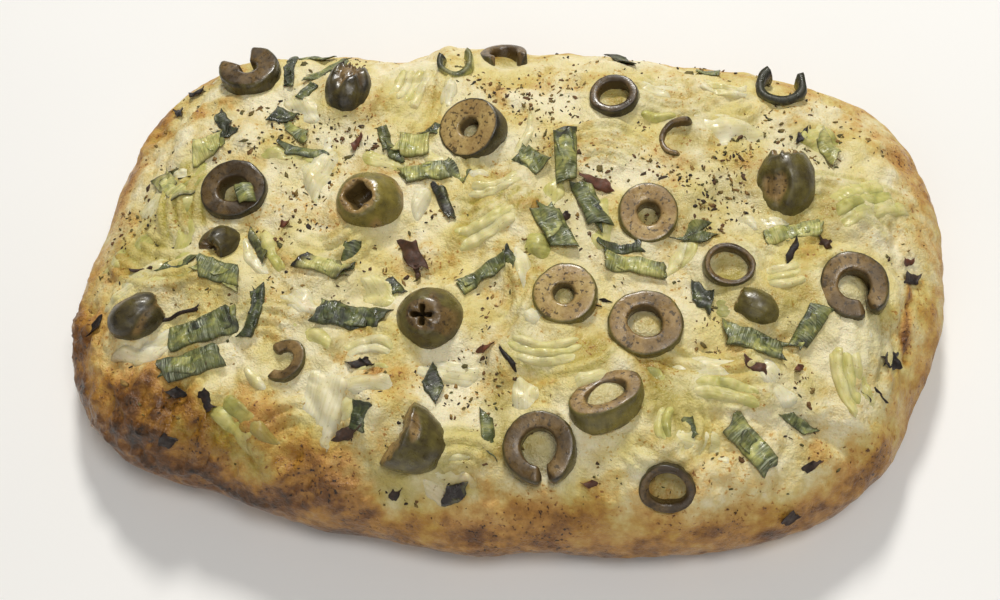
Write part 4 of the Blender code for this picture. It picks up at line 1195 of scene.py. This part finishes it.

# Smaller scraps and crisp black bits, baked in: x, y, length, width, turn, green, painted glints on pale ribs,
# charred.
BAKED_IN_SCRAPS = [
    (-0.0660, 0.0665, 0.0090, 0.0034, -12, 0.70, 0.2, 0.0),
    (-0.0605, 0.0590, 0.0150, 0.0034, 44, 0.65, 0.5, 0.1),
    (-0.0695, 0.0385, 0.0070, 0.0056, -10, 0.95, 0.1, 0.3),
    (-0.0640, 0.0330, 0.0080, 0.0040, -30, 0.50, 0.9, 0.2),
    (-0.0600, 0.0258, 0.0150, 0.0036, -8, 0.80, 0.1, 0.1),
    (-0.0880, 0.0365, 0.0080, 0.0040, -50, 0.95, 0.1, 0.4),
    (-0.0370, 0.0320, 0.0080, 0.0034, -66, 0.70, 0.0, 0.4),
    (-0.0165, 0.0115, 0.0100, 0.0034, -62, 0.80, 0.3, 0.6),
    (-0.0900, -0.0125, 0.0100, 0.0040, 10, 0.80, 0.0, 0.2),
    (0.0285, 0.0720, 0.0090, 0.0050, -60, 0.90, 0.0, 0.5),
    (0.0550, 0.0690, 0.0070, 0.0040, -5, 0.60, 0.2, 0.0),
    (0.0905, 0.0410, 0.0100, 0.0050, -60, 0.20, 0.0, 0.3),
    (0.0530, 0.0080, 0.0080, 0.0040, 40, 0.70, 0.8, 0.3),
    (0.0575, -0.0120, 0.0070, 0.0060, -35, 0.95, 0.0, 0.3),
    (0.0570, -0.0495, 0.0050, 0.0028, -60, 0.75, 0.0, 0.0),
    (0.0850, -0.0440, 0.0080, 0.0032, -25, 0.60, 0.2, 0.2),
    (0.0045, -0.0560, 0.0110, 0.0034, -78, 0.70, 0.0, 0.2),
    (-0.0030, -0.0710, 0.0060, 0.0040, 15, 0.50, 0.3, 0.8),
    (-0.0405, -0.0085, 0.0080, 0.0046, 80, 0.75, 0.6, 0.2),
    (0.0045, -0.0060, 0.0050, 0.0034, -50, 0.90, 0.0, 0.3),
    (0.0135, 0.0090, 0.0050, 0.0044, -20, 0.70, 0.5, 0.1),
    (0.0345, 0.0010, 0.0110, 0.0044, 8, 0.92, 0.1, 0.2),
    (-0.0270, -0.0160, 0.0060, 0.0040, -40, 0.92, 0.0, 0.3),
    (0.0830, 0.0440, 0.0040, 0.0030, 40, 0.50, 0.0, 0.9),
    (-0.0980, 0.0180, 0.0060, 0.0030, -30, 0.30, 0.3, 0.6),
    (0.0480, -0.0420, 0.0080, 0.0044, -40, 0.45, 1.0, 0.1),
    (-0.0860, 0.0320, 0.0056, 0.0048, 30, 0.95, 0.1, 0.3),
    (-0.0225, 0.0360, 0.0060, 0.0046, 30, 0.90, 0.4, 0.2),
    (-0.0335, 0.0275, 0.0050, 0.0044, -20, 0.85, 0.4, 0.2),
    (-0.0145, 0.0225, 0.0080, 0.0050, -30, 0.75, 0.5, 0.1),
    (-0.0300, 0.0190, 0.0090, 0.0046, 16, 0.55, 0.9, 0.0),
    (-0.0740, -0.0180, 0.0070, 0.0040, -60, 0.35, 0.0, 0.4),
    (0.0560, 0.0060, 0.0060, 0.0044, -10, 0.70, 0.8, 0.3),
    (-0.0640, 0.0480, 0.0070, 0.0034, 60, 0.80, 0.2, 0.1),
    (0.0930, -0.0120, 0.0060, 0.0034, -60, 0.50, 0.6, 0.3),
    (-0.0680, -0.0060, 0.0110, 0.0028, -52, 0.60, 0.0, 0.5),
    (-0.0115, -0.0440, 0.0072, 0.0052, -55, 0.85, 0.2, 0.4),
    (-0.0300, -0.0550, 0.0070, 0.0050, 80, 0.90, 0.0, 0.1),
    (0.1090, -0.0215, 0.0040, 0.0034, 30, 0.20, 0.0, 1.2),
]


def leaf_material():
    made, tree, shader = new_material(
        "spring_onion_leaf", 0.35, Subsurface_Weight=0.08, Subsurface_Scale=0.001, Specular_IOR_Level=0.7,
    )
    grain = attribute(tree, "grain", "Vector")
    ribs = noise_on(tree, stretched(tree, grain, (2300.0, 150.0, 1.0)), 1.0, 3.0, 0.6, 0.4)
    patches = noise_on(tree, grain, 230.0, 3.0, 0.6, 0.6)
    spread = mapped(tree, patches, 0.3, 0.7, -0.34, 0.34)
    leaf = colour_ramp(tree, worked_out(tree, "ADD", attribute(tree, "green"), spread), [
        (0.00, colour(214, 206, 130)),
        (0.30, colour(184, 182, 102)),
        (0.58, colour(126, 130, 76)),
        (0.82, colour(86, 93, 54)),
        (1.00, colour(54, 59, 36)),
    ])
    ribbed = mixed(tree, mapped(tree, ribs, 0.36, 0.56, 0.45, 0.0), leaf, colour(116, 120, 84), "MULTIPLY")
    # Painted highlight, partly the leaf's own pale ribs: near-white glints are mixed into the colour along the
    # ribs, broken into patches.
    glints = worked_out(tree, "MULTIPLY", mapped(tree, ribs, 0.50, 0.64), attribute(tree, "pale_ribs_and_glints"))
    glints = worked_out(tree, "MULTIPLY", glints, mapped(tree, patches, 0.46, 0.62))
    glinted = mixed(tree, glints, ribbed, colour(196, 200, 164))
    char = worked_out(tree, "MULTIPLY", attribute(tree, "charred"), mapped(tree, patches, 0.3, 0.7, 0.75, 1.25))
    burnt = mixed(tree, mapped(tree, char, 0.2, 0.75), glinted, colour(36, 26, 20))
    rimmed = mixed(tree, mapped(tree, attribute(tree, "rim"), 0.4, 1.0, 0.0, 0.65), burnt, colour(56, 58, 34))
    tree.links.new(rimmed, shader.inputs["Base Color"])
    add_oil(tree, shader, 420.0, 0.52, 0.22)
    add_bump(tree, shader, ribs, 0.6, 0.0004)
    return made


def end_char(near, far):
    """How charred a strip is along its length: it fades out from both ends towards the middle."""
    def charred_at(u, v):
        near_part = max(0.0, -0.15 - u) / CHARRED_LENGTH
        far_part = max(0.0, u - 0.15) / CHARRED_LENGTH
        return near * near_part + far * far_part

    return charred_at


leaf_finish = leaf_material()
LEAF_VALUES = ("green", "pale_ribs_and_glints", "charred")
for number, (row, look) in enumerate(zip(SPRING_ONION_PIECES, SPRING_ONION_LOOKS), 1):
    green, pale_ribs_and_glints, near, far = look
    shape = new_shape(*LEAF_VALUES)
    values = {"green": green, "pale_ribs_and_glints": pale_ribs_and_glints, "charred": end_char(near, far)}
    add_strip(shape, row, (70, 18), LEAF_FORM, number, values)
    x, y, length, width, turn, bend = row
    length_share, width_share, more_turn, shift = TOP_LEAF
    side = 1 if number % 2 else -1
    along = math.radians(turn)
    top_row = (
        x + side * shift * math.cos(along), y + side * shift * math.sin(along),
        length * length_share, width * width_share, turn + side * more_turn, bend * length_share,
    )
    values["green"] = green + 0.16 * side
    add_strip(shape, top_row, (50, 14), TOP_LEAF_FORM, number + 0.5, values)
    show(f"spring_onion_leaf_{number:02d}", shape, leaf_finish, "spring_onion", f"spring_onion_{number:02d}")

for number, (row, look) in enumerate(zip(SPRING_ONION_RINGS, STANDING_LOOKS), 1):
    x, y, radius, hole, height, opening, turn, rise = row
    green, pale_ribs_and_glints, charred = look
    shape = new_shape(*LEAF_VALUES)
    outline = [(hole, -1), (radius - 0.0002, -1), (radius, -0.5), (radius, 0.5), (radius - 0.0003, 1), (hole, 1)]
    outline += [(hole - 0.0002, 0.3), (hole - 0.0002, -0.3)]
    corners = [shape.verts.new((distance, 0.0, share * height / 2)) for distance, share in outline]
    section = shape.faces.new(corners)
    bmesh.ops.spin(
        shape, geom=[section, *section.edges, *section.verts], cent=(0, 0, 0), axis=(0, 0, 1), dvec=(0, 0, 0),
        angle=math.radians(360 - opening), steps=CURL_STEPS, use_merge=False,
    )
    bmesh.ops.remove_doubles(shape, verts=shape.verts, dist=0.000001)
    layers = shape.verts.layers
    crinkle, pitch = CURL_CRINKLE
    span = math.radians(360 - opening)
    for vertex in shape.verts:
        around = math.atan2(vertex.co.y, vertex.co.x) % (2 * math.pi)
        share = min(1.0, around / span)
        upward = max(0.0, vertex.co.z / height + 0.5)
        near_start = max(0.0, CHARRED_LENGTH - share) / CHARRED_LENGTH
        vertex[layers.float_vector["grain"]] = (around * radius, vertex.co.z, number)
        vertex[layers.float["green"]] = green
        vertex[layers.float["pale_ribs_and_glints"]] = pale_ribs_and_glints
        vertex[layers.float["charred"]] = charred * (0.5 * upward + near_start)
        vertex[layers.float["rim"]] = abs(2 * upward - 1) ** 6
        vertex.co += crinkle * noise.noise_vector(vertex.co * pitch + Vector((number, 0.0, 0.0)))
    bmesh.ops.transform(shape, matrix=standing_at(x, y, rise, 0, 0, turn), verts=shape.verts)
    show(f"spring_onion_curl_{number}", shape, leaf_finish, "spring_onion", f"spring_onion_ring_{number}")

shape = new_shape(*LEAF_VALUES)
for number, (x, y, length, width, turn, green, pale_ribs_and_glints, charred) in enumerate(BAKED_IN_SCRAPS):
    values = {"green": green, "pale_ribs_and_glints": pale_ribs_and_glints, "charred": charred}
    add_strip(shape, (x, y, length, width, turn, 0), (30, 12), SCRAP_FORM, 40 + number, values)
values = dict(zip(LEAF_VALUES, SCRAP_ON_OLIVE_LOOK))
add_strip(shape, SCRAP_ON_OLIVE, (30, 12), SCRAP_ON_OLIVE_FORM, 39, values)
show("spring_onion_scraps", shape, leaf_finish, "spring_onion")


# Chilli and char: flakes of dried red chilli, and bits of onion and leaf that burnt black and curled up.
# They lie where they fell. x, y, length, width, turn, and how dark, from reddish brown to black.
CHILLI_AND_CHAR = [
    (-0.0230, -0.0060, 0.0090, 0.0050, -60, 0.45),
    (-0.0210, -0.0110, 0.0040, 0.0015, -70, 0.55),
    (0.0260, 0.0210, 0.0080, 0.0032, -8, 0.25),
    (0.0830, 0.0250, 0.0060, 0.0026, 80, 0.30),
    (0.0725, -0.0315, 0.0060, 0.0028, -20, 0.35),
    (-0.0610, 0.0010, 0.0022, 0.0020, 10, 0.10),
    (-0.0740, -0.0410, 0.0026, 0.0022, 40, 0.30),
    (0.0010, -0.0330, 0.0030, 0.0020, 10, 0.15),
    (0.1140, 0.0090, 0.0032, 0.0016, 20, 0.20),
    (0.0840, -0.0300, 0.0024, 0.0016, 60, 0.20),
    (0.1030, 0.0280, 0.0030, 0.0016, 70, 0.20),
    (0.0320, -0.0660, 0.0030, 0.0016, 20, 0.30),
    (-0.0800, 0.0200, 0.0040, 0.0020, 10, 0.10),
    (-0.0450, 0.0300, 0.0050, 0.0022, 60, 0.20),
    (-0.0180, 0.0400, 0.0040, 0.0030, 80, 0.50),
    (-0.0330, -0.0590, 0.0060, 0.0030, 10, 0.60),
    (-0.1020, 0.0520, 0.0050, 0.0028, 30, 0.95),
    (-0.1060, 0.0440, 0.0040, 0.0028, -20, 0.95),
    (-0.1130, -0.0310, 0.0038, 0.0028, 80, 0.90),
    (-0.0830, -0.0510, 0.0040, 0.0030, 20, 0.95),
    (-0.0735, -0.0530, 0.0054, 0.0034, -50, 0.90),
    (-0.0840, -0.0630, 0.0040, 0.0024, -10, 0.90),
    (0.0810, 0.0040, 0.0070, 0.0022, 66, 0.95),
    (0.1150, 0.0040, 0.0050, 0.0030, 20, 0.80),
    (0.1090, -0.0225, 0.0046, 0.0040, 30, 0.95),
    (0.1040, -0.0330, 0.0050, 0.0036, 10, 0.90),
    (0.0305, -0.0170, 0.0036, 0.0022, 40, 0.95),
    (-0.0330, -0.0405, 0.0044, 0.0028, 20, 0.92),
    (-0.0300, -0.0400, 0.0030, 0.0022, -40, 0.92),
    (0.0890, -0.0540, 0.0028, 0.0028, 0, 0.75),
    (0.0850, -0.0660, 0.0026, 0.0024, 0, 0.75),
    (-0.0190, -0.0720, 0.0026, 0.0024, 0, 0.80),
    (0.0900, 0.0085, 0.0034, 0.0024, -20, 0.60),
    (-0.1020, -0.0140, 0.0076, 0.0012, 0, 0.65),
    (0.0075, -0.0355, 0.0072, 0.0014, -46, 0.95),
    (0.0175, 0.0080, 0.0040, 0.0022, 30, 0.75),
    (-0.0865, -0.0280, 0.0120, 0.0011, 17, 0.85),
]
FLAKE_FORM = (0.0007, 0.0004, 0.34, 0.0012, 0.0001, (900, 900), 0.0012, 0.0006)


def chilli_material():
    made, tree, shader = new_material("chilli_and_char", 0.4)
    grain = attribute(tree, "grain", "Vector")
    patches = mapped(tree, noise_on(tree, grain, 700.0, 3.0), 0.3, 0.7, -0.18, 0.18)
    tone = colour_ramp(tree, worked_out(tree, "ADD", attribute(tree, "dark"), patches), [
        (0.00, colour(118, 66, 42)),
        (0.35, colour(86, 54, 36)),
        (0.60, colour(66, 46, 32)),
        (0.85, colour(44, 30, 22)),
        (1.00, colour(24, 18, 14)),
    ])
    tree.links.new(tone, shader.inputs["Base Color"])
    add_oil(tree, shader, 600.0, 0.7, 0.45)
    add_bump(tree, shader, crumb_height(tree, 1500.0, 4200.0), 0.5, 0.0003)
    return made


shape = new_shape("dark")
for number, (x, y, length, width, turn, dark) in enumerate(CHILLI_AND_CHAR):
    add_strip(shape, (x, y, length, width, turn, 0), (14, 8), FLAKE_FORM, 80 + number, {"dark": dark})
show("chilli_and_char", shape, chilli_material(), "herbs")


# Herbs: dried oregano and thyme, rubbed between the fingers and scattered last.
# They lie thickest behind the middle. The oven turned many of the bits brown or black.
# Patches: x, y, how far they spread, how many bits.
HERB_PATCHES = [
    (0.014, 0.044, 0.015, 240), (0.004, 0.036, 0.014, 120), (0.060, 0.024, 0.017, 360),
    (0.070, 0.036, 0.014, 150), (0.048, 0.032, 0.014, 150), (-0.055, 0.012, 0.016, 140),
    (-0.070, 0.038, 0.016, 150), (0.004, -0.026, 0.014, 150), (0.062, -0.028, 0.015, 170),
    (0.052, -0.018, 0.012, 70), (-0.004, -0.052, 0.014, 130), (-0.030, -0.060, 0.014, 80),
    (-0.094, 0.010, 0.012, 130), (-0.104, -0.008, 0.013, 90), (-0.016, 0.048, 0.014, 110),
    (0.088, 0.022, 0.015, 110), (-0.040, 0.028, 0.014, 100), (0.008, 0.012, 0.014, 130),
    (0.086, -0.028, 0.013, 80), (-0.060, -0.026, 0.012, 60), (0.030, -0.032, 0.015, 110),
    (0.050, -0.054, 0.014, 60), (0.000, 0.000, 0.070, 1500),
]
PATCH_FLATNESS = 0.8
HERB_REACH = 0.95
HERB_LENGTHS = (0.0005, 0.0019)
BIG_HERB_SHARE = 0.16
BIG_HERB_SCALE = 1.8
HERB_WIDTHS = (0.25, 0.75)
HERB_THICKNESS = 0.0003
HERB_TILT = 0.35
# How far over the dough the middle of a bit lies, in thicknesses, and how long and short its corners can be drawn.
HERB_LIFT = 0.4
CORNER_SHARES = (0.45, 1.35)


def herb_material():
    made, tree, shader = new_material("dried_herb", 0.75)
    tone = colour_ramp(tree, attribute(tree, "dried"), [
        (0.00, colour(90, 88, 42)),
        (0.25, colour(122, 106, 52)),
        (0.50, colour(164, 130, 64)),
        (0.68, colour(120, 82, 42)),
        (0.86, colour(70, 52, 32)),
        (1.00, colour(38, 30, 22)),
    ])
    place = add_node(tree, "TexCoord").outputs["Object"]
    mottles = mapped(tree, noise_on(tree, place, 2200.0), 0.35, 0.65, 0.0, 0.7)
    tree.links.new(mixed(tree, mottles, tone, colour(150, 140, 120), "MULTIPLY"), shader.inputs["Base Color"])
    add_bump(tree, shader, crumb_height(tree, 2400.0, 5200.0), 0.5, 0.0002)
    return made


def herb_rows():
    """Draws the bits of herb: x, y, length, width, turn, tilt and how dried each is."""
    draw = random.Random(11)
    rows = []
    for at_x, at_y, spread, count in HERB_PATCHES:
        placed = 0
        while placed < count:
            x, y = draw.gauss(at_x, spread), draw.gauss(at_y, spread * PATCH_FLATNESS)
            if math.hypot(x, y) > HERB_REACH * float(edge_radius(math.atan2(y, x))):
                continue
            length = draw.uniform(*HERB_LENGTHS) * (BIG_HERB_SCALE if draw.random() < BIG_HERB_SHARE else 1.0)
            width = length * draw.uniform(*HERB_WIDTHS)
            turn = draw.uniform(0, math.pi)
            tilt = draw.uniform(-HERB_TILT, HERB_TILT)
            rows.append((x, y, length, width, turn, tilt, draw.random()))
            placed += 1
    return np.array(rows)


def herb_mesh():
    """One irregular six-sided chip, copied to every row as a joined mesh of true size."""
    chip = bmesh.new()
    bmesh.ops.create_cone(chip, cap_ends=True, segments=6, radius1=0.5, radius2=0.36, depth=1.0)
    bmesh.ops.recalc_face_normals(chip, faces=chip.faces)
    corners = np.array([vertex.co[:] for vertex in chip.verts])
    sides = [[vertex.index for vertex in face.verts] for face in chip.faces]
    chip.free()
    rows = herb_rows()
    x, y, length, width, turn, tilt, dried = rows.T[:, :, None]
    uneven = np.random.default_rng(12).uniform(*CORNER_SHARES, (len(rows), len(corners)))
    along = corners[:, 0] * length * uneven
    across = corners[:, 1] * width * uneven
    upward = corners[:, 2] * HERB_THICKNESS + along * np.sin(tilt)
    z = dough_height(rows[:, 0], rows[:, 1])[:, None] + upward + HERB_LIFT * HERB_THICKNESS
    at_x = x + along * np.cos(turn) - across * np.sin(turn)
    at_y = y + along * np.sin(turn) + across * np.cos(turn)
    mesh = bpy.data.meshes.new("herb_bits")
    copies = range(0, len(rows) * len(corners), len(corners))
    faces = [[first + index for index in side] for first in copies for side in sides]
    mesh.from_pydata(np.stack([at_x, at_y, z], -1).reshape(-1, 3), [], faces)
    values = np.repeat(dried[:, 0], len(corners)).astype(np.float32)
    mesh.attributes.new("dried", "FLOAT", "POINT").data.foreach_set("value", values)
    return mesh


show("herb_flakes", herb_mesh(), herb_material(), "herbs")


# The setting: a plain pale table under the loaf.
# A large soft window lights it from behind, and the camera looks down over its front.
FLOOR_SIZE = 6.0
CAMERA_AZIMUTH = -16
CAMERA_ELEVATION = 63
CAMERA_ROLL = -10
CAMERA_DISTANCE = 0.403
CAMERA_TARGET = Vector((0.0005, -0.0088, 0.0200))
LENS = 50.4
SENSOR = 36.0

floor_shape = bmesh.new()
bmesh.ops.create_grid(floor_shape, x_segments=1, y_segments=1, size=FLOOR_SIZE / 2)
floor_mesh = bpy.data.meshes.new("floor")
floor_shape.to_mesh(floor_mesh)
floor_shape.free()
floor_finish, floor_tree, floor_shader = new_material("pale_table", 0.7)
floor_place = add_node(floor_tree, "TexCoord").outputs["Object"]
floor_tone = mapped(floor_tree, noise_on(floor_tree, floor_place, 3.0), 0.3, 0.7)
floor_colour = mixed(floor_tree, floor_tone, colour(242, 241, 238), colour(248, 247, 245))
floor_tree.links.new(floor_colour, floor_shader.inputs["Base Color"])
floor_mesh.materials.append(floor_finish)
floor = add_object("floor", floor_mesh)


def add_light(name, place, size, power, tone):
    lamp = bpy.data.lights.new(name, "AREA")
    lamp.shape = "DISK"
    lamp.size = size
    lamp.energy = power
    lamp.color = tone
    made = add_object(name, lamp)
    made.location = place
    made.rotation_euler = (-Vector(place)).to_track_quat("-Z", "Y").to_euler()


add_light("window", (-0.10, 1.15, 1.15), 0.28, 17.5, (1.0, 0.98, 0.93))
add_light("overhead", (0.28, -0.10, 1.10), 0.45, 4.2, (1.0, 0.99, 0.97))
add_light("fill", (-0.10, -0.90, 0.70), 0.90, 1.9, (1.0, 0.97, 0.93))

world = bpy.data.worlds.new("studio")
world.use_nodes = True
world.node_tree.nodes["Background"].inputs["Color"].default_value = (1.0, 1.0, 1.0, 1.0)
world.node_tree.nodes["Background"].inputs["Strength"].default_value = 0.17
bpy.context.scene.world = world
bpy.context.scene.view_settings.view_transform = "Standard"

azimuth, elevation = math.radians(CAMERA_AZIMUTH), math.radians(CAMERA_ELEVATION)
back = Vector((
    math.sin(-azimuth) * math.cos(elevation), -math.cos(azimuth) * math.cos(elevation), math.sin(elevation)
))
level = Vector((0.0, 0.0, 1.0)).cross(back).normalized()
upward = back.cross(level)
roll = Matrix.Rotation(math.radians(CAMERA_ROLL), 3, back)
axes = Matrix((roll @ level, roll @ upward, back)).transposed().to_4x4()
camera_data = bpy.data.cameras.new("camera")
camera_data.lens = LENS
camera_data.sensor_width = SENSOR
camera_data.clip_start = 0.01
camera = add_object("camera", camera_data)
camera.matrix_world = Matrix.Translation(CAMERA_TARGET + back * CAMERA_DISTANCE) @ axes
bpy.context.scene.camera = camera
